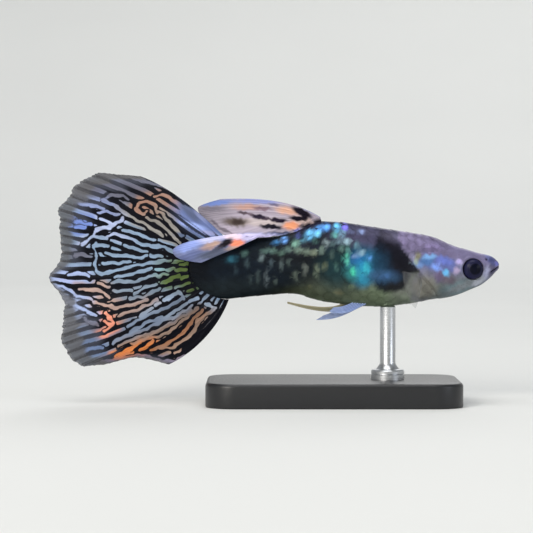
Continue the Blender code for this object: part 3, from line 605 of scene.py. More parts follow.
def fin_membrane(name, roughness):
    """Fin skin over bony rays: thin, a little glossy, see-through towards its frayed edge."""
    material, tree, shader = new_material(name)
    place = add(tree, "ShaderNodeTexCoord", {}).outputs["Object"]
    pale = add(tree, "ShaderNodeAttribute", {}, attribute_name="pale_colour").outputs["Color"]
    dark = add(tree, "ShaderNodeAttribute", {}, attribute_name="dark_colour").outputs["Color"]
    lace = add(tree, "ShaderNodeAttribute", {}, attribute_name="lace").outputs["Fac"]
    clear = add(tree, "ShaderNodeAttribute", {}, attribute_name="solidity").outputs["Fac"]
    ray = add(tree, "ShaderNodeAttribute", {}, attribute_name="ray").outputs["Fac"]
    specks = add(tree, "ShaderNodeTexNoise", {"Vector": place, "Scale": per_metre(0.16), "Detail": 2.0})
    shifted = add(tree, "ShaderNodeMath", {0: specks.outputs["Fac"], 1: 0.2, 2: lace}, operation="MULTIPLY_ADD")
    drawn = add(tree, "ShaderNodeMapRange", {"Value": shifted.outputs[0], "From Min": 0.46, "From Max": 0.66},
                interpolation_type="SMOOTHSTEP")
    colour = add(tree, "ShaderNodeMix", {0: drawn.outputs[0], 6: dark, 7: pale}, data_type="RGBA")
    lit = add(tree, "ShaderNodeMapRange", {"Value": ray, "To Min": 0.94, "To Max": 1.1})
    rayed = add(tree, "ShaderNodeVectorMath", {0: colour.outputs[2], 1: lit.outputs[0]}, operation="MULTIPLY")
    bump = add(tree, "ShaderNodeBump", {"Height": specks.outputs["Fac"], "Strength": 0.2, "Distance": 0.02 * MM})
    feed(tree, shader, {"Base Color": rayed.outputs[0], "Alpha": clear, "Roughness": roughness,
                        "Normal": bump.outputs[0], "IOR": 1.38, "Specular IOR Level": 0.12})
    return material


def eye_glass():
    """A fish's eye: a black lens in a dark violet iris under a clear, wet cornea, which gives it one
    sharp highlight."""
    material, tree, shader = new_material("guppy_eye")
    colour = add(tree, "ShaderNodeAttribute", {}, attribute_name="skin_colour").outputs["Color"]
    place = add(tree, "ShaderNodeTexCoord", {}).outputs["Object"]
    threads = add(tree, "ShaderNodeTexNoise", {"Vector": place, "Scale": per_metre(0.14), "Detail": 3.0})
    uneven = add(tree, "ShaderNodeMapRange", {"Value": threads.outputs["Fac"], "To Min": 0.55, "To Max": 1.45})
    tinted = add(tree, "ShaderNodeVectorMath", {0: colour, 1: uneven.outputs[0]}, operation="MULTIPLY")
    feed(tree, shader, {"Base Color": tinted.outputs[0], "Roughness": 0.35, "IOR": 1.34, "Specular IOR Level": 0.1,
                        "Coat Weight": 0.1, "Coat Roughness": 0.03})
    return material


def turned_steel():
    """Turned and polished stainless steel: fine rings round the rod stretch its highlights."""
    material, tree, shader = new_material("turned_steel")
    place = add(tree, "ShaderNodeTexCoord", {}).outputs["Object"]
    squeezed = add(tree, "ShaderNodeMapping", {"Vector": place, "Scale": (0.02, 0.02, 1.0)})
    rings = add(tree, "ShaderNodeTexNoise", {"Vector": squeezed.outputs[0], "Scale": per_metre(0.06), "Detail": 2.0})
    rough = add(tree, "ShaderNodeMapRange", {"Value": rings.outputs["Fac"], "To Min": 0.2, "To Max": 0.4})
    bump = add(tree, "ShaderNodeBump", {"Height": rings.outputs["Fac"], "Strength": 0.4, "Distance": 0.01 * MM})
    feed(tree, shader, {"Base Color": rgba("#c6c8cb"), "Metallic": 1.0, "Roughness": rough.outputs[0],
                        "Normal": bump.outputs[0]})
    return material


def satin_acrylic():
    """Black cast acrylic with a satin face: a soft sheen with a very fine orange-peel grain."""
    material, tree, shader = new_material("satin_black_acrylic")
    place = add(tree, "ShaderNodeTexCoord", {}).outputs["Object"]
    grain = add(tree, "ShaderNodeTexNoise", {"Vector": place, "Scale": per_metre(0.25), "Detail": 3.0})
    rough = add(tree, "ShaderNodeMapRange", {"Value": grain.outputs["Fac"], "To Min": 0.3, "To Max": 0.46})
    bump = add(tree, "ShaderNodeBump", {"Height": grain.outputs["Fac"], "Strength": 0.25, "Distance": 0.02 * MM})
    feed(tree, shader, {"Base Color": rgba("#17181b"), "Roughness": rough.outputs[0], "Normal": bump.outputs[0],
                        "IOR": 1.49})
    return material


def floor_paint():
    """Matt pale studio paint."""
    material, tree, shader = new_material("studio_floor")
    place = add(tree, "ShaderNodeTexCoord", {}).outputs["Object"]
    mottle = add(tree, "ShaderNodeTexNoise", {"Vector": place, "Scale": 12.0, "Detail": 2.0})
    shade = add(tree, "ShaderNodeMix", {0: mottle.outputs["Fac"], 6: rgba("#d6d7d5"), 7: rgba("#dddedc")},
                data_type="RGBA")
    feed(tree, shader, {"Base Color": shade.outputs[2], "Roughness": 0.9})
    return material


# The body

RINGS, CORNERS = 420, 152
SNOUT_CAP = 0.012  # share of the rings that closes the tip of the snout
# Share of the rings, d: the rings lie closest on the head
RING_PLACES = ((0.0, 0.03), (0.012, 0.05), (0.10, 1.2), (0.30, 4.6), (0.50, 9.2), (0.94, 30.6), (1.0, 32.0))
COAT_DEPTH = 0.06  # how far the skin lies inside the solids where scales cover it


def head_relief(d, h):
    """How far lips, eye rims, nostrils and gill covers stand out of the plain head, or sink into it."""
    off_mouth = np.abs(h + MOUTH_DROP * d / MOUTH_CORNER)
    off_lip = off_mouth - MOUTH_OPENING / 2
    lips = LIP_RISE * np.exp(-(((off_lip - LIP_HALF_WIDTH) / LIP_HALF_WIDTH) ** 2))
    lips = lips * ease((MOUTH_CORNER + 0.3 - d) / 0.4)
    slit = -0.26 * ease(1.3 - off_mouth / 0.075) * ease((MOUTH_CORNER + 0.05 - d) / 0.15)
    off_eye = np.hypot(d - EYE_PLACE, h - EYE_LEVEL)
    rim = 0.07 * np.exp(-(((off_eye - 1.22) / 0.14) ** 2))
    off_nostril = np.hypot(d - NOSTRIL_PLACE, h - NOSTRIL_LEVEL)
    nostril = -0.16 * ease(1.5 - off_nostril / NOSTRIL_RADIUS)
    nostril = nostril + 0.015 * np.exp(-(((off_nostril - 0.24) / 0.07) ** 2))
    to_edge = table_curve(GILL_EDGE, h) - d
    cover = GILL_RISE * ease(1 - to_edge / GILL_RISE_LENGTH) * ease((to_edge + 0.12) / 0.12)
    cover = cover * ease((GILL_REACH - np.abs(h - GILL_LEVEL)) / 1.2)
    furrow = -0.035 * np.exp(-(((to_edge - 2.5) / 0.12) ** 2)) * ease((1.9 - np.abs(h + 0.9)) / 0.8)
    return lips + slit + rim + nostril + cover + furrow


def eye_socket(d, h):
    """How far the skin goes in under the eyeball."""
    off_eye = np.hypot(d - EYE_PLACE, h - EYE_LEVEL)
    return 0.75 * ease((1.09 - off_eye) / 0.1)


def scale_start(h):
    """The d behind which scales cover the body: the gill cover's edge, and further forward on the nape."""
    return mix(table_curve(GILL_EDGE, h) + 0.1, 3.4, ease((h - 1.1) / 0.9))


def make_skin(material):
    bpy.ops.mesh.primitive_uv_sphere_add(segments=CORNERS, ring_count=RINGS, radius=1.0)
    obj = bpy.context.object
    obj.name = obj.data.name = "skin"
    ball = get_points(obj.data)
    share = np.arccos(np.clip(ball[:, 2], -1, 1)) / np.pi
    turn = np.arctan2(ball[:, 1], ball[:, 0])
    d = table_curve(RING_PLACES, share)
    points = body_point(d, turn)
    scaled = ease((d - scale_start(points[:, 2])) / 0.4)
    points = points - body_normal(d, turn) * (COAT_DEPTH * scaled)[:, None]
    relief = head_relief(d, points[:, 2])
    c, s = np.cos(turn), np.sin(turn)
    points[:, 1] += relief * c - eye_socket(d, points[:, 2]) * np.sign(c) * (np.abs(points[:, 1]) > 0.5)
    points[:, 2] += relief * s
    closing = np.sin(np.pi / 2 * np.clip(share / SNOUT_CAP, 0, 1)) * np.clip((1 - share) * 60, 0, 1) ** 0.5
    points[:, 1] *= closing
    points[:, 2] = mix(np.where(share < 0.5, 0.0, STEM_LEVEL), points[:, 2], closing)
    set_points(obj.data, world(*points.T))
    colours = body_colours(d, points[:, 2])
    # Painted shade: the sunken mouth slit and nostril pits are painted nearly black
    slit = ease(-(relief + 0.06) / 0.12)
    colours = mix(colours, linear("#14131c"), (0.85 * slit * (d < 2.0))[:, None])
    # Painted shade: the skin under the coat of scales is painted 35 % darker
    put_colours(obj.data, "skin_colour", colours * (1 - 0.35 * scaled)[:, None])
    put_numbers(obj.data, "shine", 0.12 + 0.15 * (1 - scaled))
    outwards(obj)
    return finished(obj, material, ("head", "trunk", "tail_stem"))


# The coat of scales

SCALE_PITCH = 0.86  # from one ring of scales to the next
SCALE_ROWS = 16  # round the body
SCALE_LENGTH = 1.75  # in pitches, of which the next scale in front covers the first part
SCALE_CUTS = (0.0, 0.40, 0.55, 0.70, 0.85, 1.0)  # along a scale, closest where it shows
SCALE_CELLS = (5, 4)  # along, and across
SCALE_SINK, SCALE_RISE, SCALE_THICKNESS = 0.036, 0.010, 0.025
LAST_SCALE = 31.0


def equal_turns(d):
    """Turns round the body at d that lie equally far apart along its girth, from the back's middle."""
    turn = np.linspace(np.pi / 2, np.pi / 2 + 2 * np.pi, 721)
    ring = body_point(d, turn)[:, 1:]
    girth = np.concatenate(([0.0], np.cumsum(np.linalg.norm(np.diff(ring, axis=0), axis=1))))
    return turn, girth / girth[-1]


def scale_plate():
    """One scale, modelled as a thin closed plate. Its length runs from 0 to 1, its breadth from -1 to 1,
    and its depth from 0 on top to 1 underneath."""
    bpy.ops.object.select_all(action="DESELECT")
    bpy.ops.mesh.primitive_grid_add(x_subdivisions=SCALE_CELLS[0], y_subdivisions=SCALE_CELLS[1], size=2.0)
    plate = bpy.context.object
    wall = plate.modifiers.new("wall", "SOLIDIFY")
    wall.thickness = 1.0
    wall.offset = -1.0
    apply_modifiers(plate)
    points = get_points(plate.data)
    faces = np.array([face.vertices[:] for face in plate.data.polygons])
    bpy.data.objects.remove(plate)
    along = np.interp((points[:, 0] + 1) / 2, np.linspace(0, 1, len(SCALE_CUTS)), SCALE_CUTS)
    return along, points[:, 1], np.round(-points[:, 2]), faces


def make_scales(material):
    """Copies the scale all over the body: each copy is bent to the skin, sunk in at its front and stands
    a little clear of the next one at its rear."""
    a, b, under, plate = scale_plate()
    width = np.where(a > 0.45, np.sqrt(np.clip(1 - ((a - 0.45) / 0.55) ** 2, 0, 1)), 1.0) * 0.94 + 0.06
    draw = np.random.default_rng(11)
    points, colours, shines, maps = [], [], [], []
    column = 0
    middle = 3.3
    while middle < LAST_SCALE:
        turns, shares = equal_turns(middle)
        for row in range(SCALE_ROWS):
            place = ((row + 0.5 * (column % 2)) / SCALE_ROWS + draw.normal(0, 0.0012)) % 1.0
            shift, bright = draw.normal(0, 0.03), draw.uniform(0, 1)
            centre = np.interp(place, shares, turns)
            if middle < scale_start(body_point(middle, centre)[2]):
                continue
            d = middle + shift + SCALE_PITCH * SCALE_LENGTH * (a - 0.62)
            d = np.minimum(d, STEM_ROUND_START + STEM_ROUND_LENGTH - 0.1)
            turn = np.interp((place + 0.52 * b * width / SCALE_ROWS) % 1.0, shares, turns)
            height = mix(-SCALE_SINK, SCALE_RISE, a) + 0.012 * (1 - b * b) - COAT_DEPTH + 0.02
            skin = body_point(d, turn)
            points.append(skin + body_normal(d, turn) * (height - SCALE_THICKNESS * under)[:, None])
            x, y = in_photo(d, skin[:, 2])
            tone = body_colours(d, skin[:, 2])
            heart = ease(1.0 - np.abs(a - 0.66) / 0.3) * ease((1.0 - np.abs(b)) / 0.5)
            edge = ease((a - 0.82) / 0.14) + 0.6 * ease((np.abs(b) - 0.75) / 0.25)
            tone = tone * (1 - 0.2 * np.clip(edge, 0, 1) + 0.2 * (bright - 0.5) + 0.06 * heart)[:, None]
            lit = np.zeros(len(x))
            # Painted glints: each scale takes the glint colours, most at its centre
            for glint in GLINTS:
                share = coverage(x, y, glint) * mix(0.4, 1.0, heart)
                tone = mix(tone, linear(glint[5]), share[:, None])
                lit = np.maximum(lit, share)
            # Painted shade: each scale's underside is painted half as bright as its top
            colours.append(tone * (1 - 0.5 * under)[:, None])
            shines.append(0.22 + 0.35 * lit)
            patch = 0.003 * np.stack([a - 0.5, b / 2], axis=-1)
            maps.append(patch + [middle / 36.0, place * 0.96 + 0.02])
        column += 1
        middle += SCALE_PITCH * np.interp(middle, (3.3, 5.5, 16.0, 31.0), (0.7, 0.86, 1.06, 0.8))
    faces = (plate[None] + (np.arange(len(points)) * len(a))[:, None, None]).reshape(-1, 4)
    mesh = bpy.data.meshes.new("scales")
    mesh.from_pydata(world(*np.concatenate(points).T), [], faces.tolist())
    obj = bpy.data.objects.new("scales", mesh)
    bpy.context.scene.collection.objects.link(obj)
    put_colours(mesh, "skin_colour", np.concatenate(colours))
    put_numbers(mesh, "shine", np.concatenate(shines))
    own_map = mesh.uv_layers.new(name="OFBake")
    own_map.data.foreach_set("uv", np.concatenate(maps)[faces.ravel()].astype(np.float32).ravel())
    outwards(obj)
    return finished(obj, material, smooth=40)


# Fins

def ray_ridges(s, t, rays, forks):
    """Height, 0 to 1, of the fin rays. Each of them forks in two at each share t in forks."""
    offset = (s * rays) % 1.0 - 0.5
    ridge = np.zeros_like(s)
    width = 0.13 / (1 + np.sum([ease((t - fork) / 0.2) for fork in forks], axis=0) * 0.6)
    for signs in itertools.product((-1, 1), repeat=len(forks)):
        middle = sum(sign * 0.25 / 2 ** k * ease((t - fork) / 0.2) for k, (sign, fork) in enumerate(zip(signs, forks)))
        ridge = np.maximum(ridge, np.exp(-(((offset - middle) / width) ** 2)))
    return ridge


def make_fin(name, node, place, columns, rows, root, thickness, look, material):
    """A thin closed fin over a grid. root is the t at which it starts, below 0 inside the body.
    thickness(s, t) is in millimetres, and look(s, t, d, h) gives the numbers and colours to store."""
    bpy.ops.mesh.primitive_grid_add(x_subdivisions=columns, y_subdivisions=rows, size=2.0)
    obj = bpy.context.object
    obj.name = obj.data.name = name
    square = get_points(obj.data)
    s, share = (square[:, 0] + 1) / 2, (square[:, 1] + 1) / 2
    t = mix(root, 1.0, share)
    d, y, h = place(s, t)
    set_points(obj.data, world(d, y, h))
    for key, values in look(s, t, d, h).items():
        (put_colours if key.endswith("colour") else put_numbers)(obj.data, key, values)
    depth = thickness(s, t)
    group = obj.vertex_groups.new(name="thickness")
    for index, weight in enumerate(depth / depth.max()):
        group.add([index], float(weight), "REPLACE")
    skin = obj.modifiers.new("skin", "SOLIDIFY")
    skin.thickness = depth.max() * MM
    skin.offset = 0.0
    skin.vertex_group = "thickness"
    skin.thickness_vertex_group = 0.0
    apply_modifiers(obj)
    obj.vertex_groups.clear()
    return finished(obj, material, (node,))


# The tail fan

TAIL_RAYS, TAIL_FORKS = 18, (0.3, 0.6)
LACE_CELL = 0.06  # millimetres, of the grid on which the lace pattern grows
LACE_PERIOD_ROOT, LACE_PERIOD_EDGE = 0.74, 0.88  # millimetres from line to line
LACE_TURNS, LACE_STEPS = 12, 22
LACE_HALF = 0.35  # millimetres from the middle of a pale line to the middle of the black beside it
LACE_WOBBLE = 0.13  # millimetres
LACE_THINNING = 0.16  # how much of the pale lines gives way to black, in the pattern's -1 to 1

# The pale lines that the photograph shows: for each colour, lines as x and y of one point after another
LACE_LINES = {
    "#696a7a": ((185, 200, 170, 190, 155, 184, 140, 180, 125, 175, 105, 172), (106, 198, 113, 194, 122, 196, 128, 199),
                (75, 255, 83, 254, 90, 257), (85, 320, 92, 322, 98, 325)),
    "#ac8574": ((155, 197, 163, 195, 170, 199, 178, 204, 183, 210, 184, 216),
                (136, 209, 140, 203, 148, 201, 155, 206, 158, 213), (137, 210, 144, 214, 147, 212)),
    "#97928c": ((157, 210, 165, 217, 175, 229, 182, 236),
                (147, 218, 155, 221, 163, 226, 170, 232, 176, 239, 180, 243),
                (118, 208, 125, 214, 132, 218, 143, 223, 152, 229, 163, 236)),
    "#8793bb": ((104, 200, 118, 208), (80, 204, 88, 206, 97, 206, 104, 209),
                (98, 213, 108, 212, 115, 214, 120, 215)),
    "#768dd1": ((76, 222, 84, 224, 91, 225), (77, 227, 86, 228)),
    "#acb7d9": ((101, 219, 106, 221, 111, 224), (94, 234, 97, 229, 103, 227, 110, 228, 116, 225, 121, 221, 124, 218),
                (96, 231, 104, 229, 111, 226), (83, 245, 88, 240, 92, 237),
                (108, 236, 115, 234, 122, 236, 132, 239)),
    "#859ab4": ((123, 231, 135, 233, 145, 237, 155, 241),
                (132, 239, 142, 244, 152, 247, 160, 246, 167, 249, 175, 252), (92, 237, 100, 238, 107, 239),
                (94, 246, 102, 245, 110, 246), (125, 246, 133, 248, 141, 251, 148, 252),
                (106, 253, 113, 255, 122, 256, 132, 257, 141, 258, 147, 257), (151, 256, 162, 257),
                (102, 263, 112, 263, 122, 263, 130, 262),
                (95, 243, 95, 250, 96, 258, 95, 266, 97, 272, 103, 275, 110, 273, 118, 270),
                (118, 270, 127, 268, 137, 266, 147, 264, 156, 262, 165, 261),
                (115, 278, 122, 276, 130, 275, 138, 273, 145, 271, 152, 269)),
    "#9cc6d8": ((157.5, 270.5, 163.5, 269.5),),
    "#6f8474": ((160, 262, 171, 260), (167, 270, 174, 268.5), (175.5, 289, 182, 286.5), (158, 277, 167, 274)),
    "#62773f": ((180, 265, 187, 264), (171, 278.5, 180, 275), (182.5, 286, 189, 283), (188, 292, 194, 289.5),
                (176, 271.5, 185, 270), (163.5, 283, 172, 279.5), (182, 278, 188, 276.5)),
    "#7c8c9e": ((112, 284, 120, 281, 130, 282, 140, 280, 150, 277, 157, 275),
                (135, 293, 142, 290, 150, 287, 157, 284), (115, 292, 132, 291),
                (130, 299, 137, 297, 145, 297, 152, 293, 160, 288)),
    "#b2978d": ((92, 302, 98, 304, 106, 306, 115, 307, 124, 307, 132, 306, 140, 303, 148, 299),
                (120, 317, 126, 314, 134, 312, 142, 308, 150, 304, 157, 301),
                (78, 289, 86, 290, 95, 290, 103, 293, 110, 298), (98, 284, 110, 288)),
    "#aabbd3": ((165, 300, 170, 297, 176, 294), (155, 306, 160, 303), (178, 293, 182, 297, 184, 300),
                (141, 316, 147, 312, 152, 309), (165, 319, 172, 314, 180, 309, 187, 304),
                (205, 303, 210, 305, 216, 308)),
    "#bcd2f4": ((190, 302, 198, 299), (168, 300, 173, 297.5)),
    "#808fa8": ((128, 327, 136, 323, 144, 318, 152, 314, 160, 310, 168, 307, 176, 303, 182, 300),
                (131, 332, 138, 328, 146, 324, 154, 321, 162, 317),
                (112, 344, 118, 340, 124, 338, 131, 335, 139, 332, 147, 329, 155, 325, 163, 321),
                (163, 321, 170, 320, 178, 315, 186, 310, 193, 306)),
    "#998274": ((118, 347, 127, 342, 136, 338, 145, 336, 153, 333, 161, 330, 169, 326, 177, 321, 190, 311),
                (131, 345, 140, 341, 150, 339, 160, 336, 168, 332, 176, 327, 184, 320, 192, 314, 198, 309),
                (160, 350, 170, 349, 178, 345, 186, 339, 192, 334, 196, 327, 199, 320, 204, 315, 215, 310)),
    "#f8924a": ((115, 356, 122, 353, 130, 350, 136, 347, 141, 343), (119, 357, 131, 353),
                (140, 352, 147, 347, 153, 341)),
    "#a77251": ((150, 351, 158, 349, 166, 346, 174, 341, 181, 335, 187, 329, 192, 322, 198, 315, 203, 311),),
    "#b39280": ((175, 355, 180, 351, 187, 345, 193, 342, 199, 338),),
    "#777084": ((102, 363, 112, 361, 122, 359, 133, 357, 145, 358, 155, 361, 165, 363, 175, 363, 185, 357),),
    "#9dadd5": ((53, 286, 62, 287, 70, 291, 76, 296, 83, 299, 90, 300), (68, 275, 76, 274, 84, 276, 90, 278),
                (60, 298, 68, 301, 75, 306, 82, 310, 90, 313, 96, 316)),
    "#f09c82": ((105, 313, 110, 318, 114, 324, 110, 328, 104, 332), (106, 322, 110, 325)),
    "#6b7da2": ((88, 350, 95, 348, 103, 348),),
}


def soft_noise(shape, seed, size):
    """Smooth random numbers, mostly from -1 to 1, on the lace's grid. Size is in millimetres."""
    reach = [np.exp(-((np.fft.fftfreq(n, LACE_CELL) * size * 1.6) ** 2)) for n in shape]
    noise = np.random.default_rng(seed).normal(0, 1, shape)
    noise = np.fft.ifft2(np.fft.fft2(noise) * reach[0][:, None] * reach[1][None, :]).real
    return np.clip(noise / (2 * noise.std()), -1.5, 1.5)


def drawn_lines(corner, shape):
    """The lace lines on the grid: each place's distance to the nearest, in millimetres, how much colour
    reaches it, and that colour."""
    near, reach, tint = np.full(shape, 9.0), np.zeros(shape), np.zeros(shape + (3,))
    wobble = [soft_noise(shape, seed, 0.55) for seed in (31, 32, 33)]
    for code, lines in LACE_LINES.items():
        for line in lines:
            x, y = np.array(line, float).reshape(-1, 2).T
            d, h = (SNOUT[0] - x) * PIXEL, (SNOUT[1] - y) * PIXEL
            low = [max(int((v.min() - c - 1.4) / LACE_CELL), 0) for v, c in ((d, corner[0]), (h, corner[1]))]
            high = [int((v.max() - c + 1.4) / LACE_CELL) for v, c in ((d, corner[0]), (h, corner[1]))]
            part = (slice(low[0], high[0]), slice(low[1], high[1]))
            grid = np.mgrid[part] * LACE_CELL + corner[:, None, None]
            grid = grid[:, :near[part].shape[0], :near[part].shape[1]]
            grid = grid + LACE_WOBBLE * np.stack([wobble[0][part], wobble[1][part]])
            off = np.full(grid.shape[1:], 9.0)
            for k in range(len(d) - 1):
                run, rise = d[k + 1] - d[k], h[k + 1] - h[k]
                share = ((grid[0] - d[k]) * run + (grid[1] - h[k]) * rise) / (run * run + rise * rise)
                share = np.clip(share, 0, 1)
                off = np.minimum(off, np.hypot(grid[0] - d[k] - share * run, grid[1] - h[k] - share * rise))
            near[part] = np.minimum(near[part], off * (1 + 0.16 * wobble[2][part]))
            reach[part] += np.exp(-((off / 0.42) ** 2))
            tint[part] += np.exp(-((off / 0.42) ** 2))[..., None] * linear(code)
    return near, reach, tint


def lace_pattern():
    """Grows the lace round the drawn lines: stripes along the rays that split as the fan widens, and
    hooks further out. Each step keeps what repeats at the lace's period across the rays, and sharpens it.
    Returns the pattern, from -1 to 1, the drawn lines' reach and colour, and the grid's first corner."""
    s, t = np.meshgrid(np.linspace(0, 1, 900), np.linspace(-0.03, 1, 560), indexing="ij")
    d, _, h = tail_place(s, t)
    along = np.stack([np.gradient(d, axis=1), np.gradient(h, axis=1)], axis=-1)
    angle = np.arctan2(along[..., 1], along[..., 0])
    corner = np.array([d.min() - 1.0, h.min() - 1.0])
    size = (np.array([d.max() + 1.0, h.max() + 1.0]) - corner) // LACE_CELL
    shape = tuple(size.astype(int))
    cell = tuple(((v - c) / LACE_CELL).astype(int).ravel() for v, c in ((d, corner[0]), (h, corner[1])))
    sums = {}
    for key, value in (("n", np.ones_like(t)), ("c", np.cos(2 * angle)), ("s", np.sin(2 * angle)), ("t", t)):
        sums[key] = np.zeros(shape)
        np.add.at(sums[key], cell, value.ravel())
    inside = sums["n"] > 0
    angle = np.arctan2(sums["s"], sums["c"]) / 2
    outward = np.where(inside, sums["t"] / np.maximum(sums["n"], 1), 0.5)
    waves = [np.fft.fftfreq(shape[0], LACE_CELL)[:, None], np.fft.rfftfreq(shape[1], LACE_CELL)[None, :]]
    kinds = []
    loose = ease((outward - 0.35) / 0.45)
    for period, spread, share in ((LACE_PERIOD_ROOT, 0.20, 1 - loose), (LACE_PERIOD_EDGE, 0.60, loose)):
        for k in range(LACE_TURNS):
            turn = np.pi * k / LACE_TURNS
            off = np.abs((angle - turn + np.pi / 2) % np.pi - np.pi / 2) / (np.pi / LACE_TURNS)
            across = -waves[0] * np.sin(turn) + waves[1] * np.cos(turn)
            along_ray = waves[0] * np.cos(turn) + waves[1] * np.sin(turn)
            kept = np.exp(-(((np.abs(across) - 1 / period) / 0.30) ** 2) - (along_ray / spread) ** 2)
            kinds.append((kept, np.clip(1 - off, 0, 1) * share))
    near, reach, tint = drawn_lines(corner, shape)
    drawn = np.cos(np.pi * np.clip(near / LACE_HALF, 0, 1))
    held = 1 - ease((near - 0.75 * LACE_HALF) / (0.6 * LACE_HALF))
    field = np.random.default_rng(4).normal(0, 0.5, shape) * inside
    for _ in range(LACE_STEPS):
        spectrum = np.fft.rfft2(mix(field, drawn, 0.6 * held))
        grown = sum(share * np.fft.irfft2(spectrum * kept, shape) for kept, share in kinds)
        field = np.tanh(2.2 * grown / grown[inside].std()) * inside
    field = mix(field - 0.25 * loose, drawn, 0.8 * held)
    return np.concatenate([field[..., None], reach[..., None], tint], axis=-1), corner


def sampled(layers, corner, d, h):
    """The layers at each point, between the grid's nearest four corners."""
    x = np.clip((d - corner[0]) / LACE_CELL - 0.5, 0, layers.shape[0] - 1.001)
    y = np.clip((h - corner[1]) / LACE_CELL - 0.5, 0, layers.shape[1] - 1.001)
    i, j = x.astype(int), y.astype(int)
    fx, fy = (x - i)[:, None], (y - j)[:, None]
    return mix(mix(layers[i, j], layers[i + 1, j], fx), mix(layers[i, j + 1], layers[i + 1, j + 1], fx), fy)


TAIL_PALE = "#8298b4"
TAIL_MARKS = (
    (178, 272, 20, 24, 0, "#71876a", 0.9, 0.5),
    (150, 204, 34, 14, 25, "#93796e", 0.9, 0.4),
    (98, 220, 24, 14, 0, "#8493c2", 0.9, 0.5),
    (110, 190, 40, 12, 0, "#626273", 0.95, 0.5),
    (110, 293, 34, 16, 0, "#a08c8c", 0.9, 0.5),
    (75, 285, 26, 14, 20, "#95a0c8", 0.9, 0.5),
    (108, 325, 16, 16, 0, "#b07e74", 0.9, 0.5),
    (145, 350, 36, 10, -12, "#a26f4a", 0.9, 0.4),
    (185, 332, 26, 20, -40, "#907a6a", 0.9, 0.5),
    (85, 345, 18, 12, 0, "#62708e", 0.8, 0.6),
    (82, 226, 12, 9, 0, "#8294dc", 0.95, 0.6),
    (100, 208, 14, 6, 15, "#95a2e2", 0.9, 0.6),
    (82, 252, 12, 12, 0, "#76829c", 0.9, 0.6),
    (64, 285, 14, 6, 10, "#b2b2e6", 0.95, 0.5),
    (84, 292, 9, 4, 8, "#a8837c", 0.9, 0.6),
    (74, 326, 14, 14, 0, "#707c96", 0.9, 0.6),
    (95, 351, 10, 4.5, 0, "#64789c", 0.95, 0.6),
)
# Where the pale lines are duller
DULL_PARTS = ((155, 314, 64, 24, -15, "", 0.24, 0.6), (190, 282, 26, 36, 0, "", 0.3, 0.6),
              (150, 205, 40, 22, 20, "", 0.2, 0.6))
# The smooth, finely streaked part at the upper root
ROOT_PART = (197, 222, 25, 12, 33, "", 1.0, 0.5)
ROOT_MARKS = (
    (198, 222, 28, 14, 33, "#6876a4", 1.0, 0.4),
    (189, 211, 15, 4.0, 48, "#565f7c", 0.9, 0.5),
    (200, 214, 10, 3, 48, "#838ab0", 0.9, 0.5),
    # The next two pale streaks along the rays are painted highlights
    (193.5, 226, 14, 3.0, 16, "#9cafea", 0.95, 0.5),
    (209, 233, 8, 2.2, 12, "#a2a8d4", 0.9, 0.5),
    (187, 236, 12, 3, 8, "#5d6f90", 0.9, 0.5),
)
# How wide the dusky margin is: s, millimetres
VEIL_WIDTHS = ((0.0, 1.0), (0.07, 2.6), (0.12, 3.0), (0.19, 2.7), (0.30, 2.4), (0.40, 2.1), (0.47, 1.5),
               (0.515, 0.3), (0.56, 1.4), (0.64, 2.4), (0.72, 3.1), (0.79, 3.2), (0.87, 1.0), (0.94, 0.5),
               (1.0, 0.3))


def tail_look(layers, corner):
    def look(s, t, d, h):
        x, y = in_photo(d, h)
        tips, roots = tail_place(s, 1 + 0 * s), tail_place(s, 0 * s)
        edge = (1 - t) * np.hypot(tips[0] - roots[0], tips[2] - roots[2])
        width = table_curve(VEIL_WIDTHS, s) * (1 + 0.2 * noise_line(s, 5, 0.03) + 0.15 * noise_line(s, 6, 0.009))
        fringe = ease((0.6 * width + 0.4 - edge) / 0.7)
        haze = ease((1.15 * width + 0.9 - edge) / 1.6)
        layer = sampled(layers, corner, d, h)
        lace = (layer[:, 0] - LACE_THINNING) * (1 - 0.65 * haze)
        lace = mix(lace, 0.15 + 0.25 * layer[:, 0] + 0.15 * noise_line(s, 7, 0.004), fringe)
        streaks = 0.1 + 0.4 * noise_line(s, 51, 0.021) + 0.3 * noise_line(s, 52, 0.008)
        root = coverage(x, y, ROOT_PART)
        lace = mix(lace, streaks, root)
        rim = ease((s - 0.955) / 0.02) * (1 - ease((t - 0.6) / 0.2))
        lace = mix(lace, -1.0, rim)
        ray = ray_ridges(s, t, TAIL_RAYS, TAIL_FORKS)
        pale = painted(x, y, TAIL_PALE, TAIL_MARKS)
        pale = (0.06 * pale + layer[:, 2:]) / (0.06 + layer[:, 1:2])
        dull = sum(coverage(x, y, mark) for mark in DULL_PARTS)
        pale = pale * (1 - np.clip(dull, 0, 0.5))[:, None]
        pale = painted(x, y, pale, ROOT_MARKS)
        pale = mix(pale, linear("#5c5b5c"), (0.85 * fringe)[:, None])
        dark = mix(linear("#090a13") + 0 * pale, linear("#3d404c"), (0.9 * haze)[:, None])
        dark = mix(dark, linear("#3a4258"), (0.75 * root)[:, None])
        dark = mix(dark, linear("#424246"), (0.9 * fringe)[:, None])
        frayed = ease((0.5 - edge) / 0.5)
        solidity = 1 - 0.12 * fringe - 0.35 * frayed * (1 - ray)
        lace = 0.5 + 0.5 * lace
        return {"pale_colour": pale, "dark_colour": dark, "lace": lace, "solidity": solidity, "ray": ray}

    return look


def tail_frayed(s, t):
    """The fan with its rays' tips standing past the membrane between them."""
    tips = 0.010 * noise_line(s, 3, 0.031) + 0.007 * noise_line(s, 8, 0.009)
    tips = tips + 0.004 * (ray_ridges(s, t, TAIL_RAYS, TAIL_FORKS) - 0.9)
    tips = tips * ease(np.minimum(s, 1 - s) / 0.08)
    return tail_place(s, t * (1 + tips * ease((t - 0.8) / 0.2)))


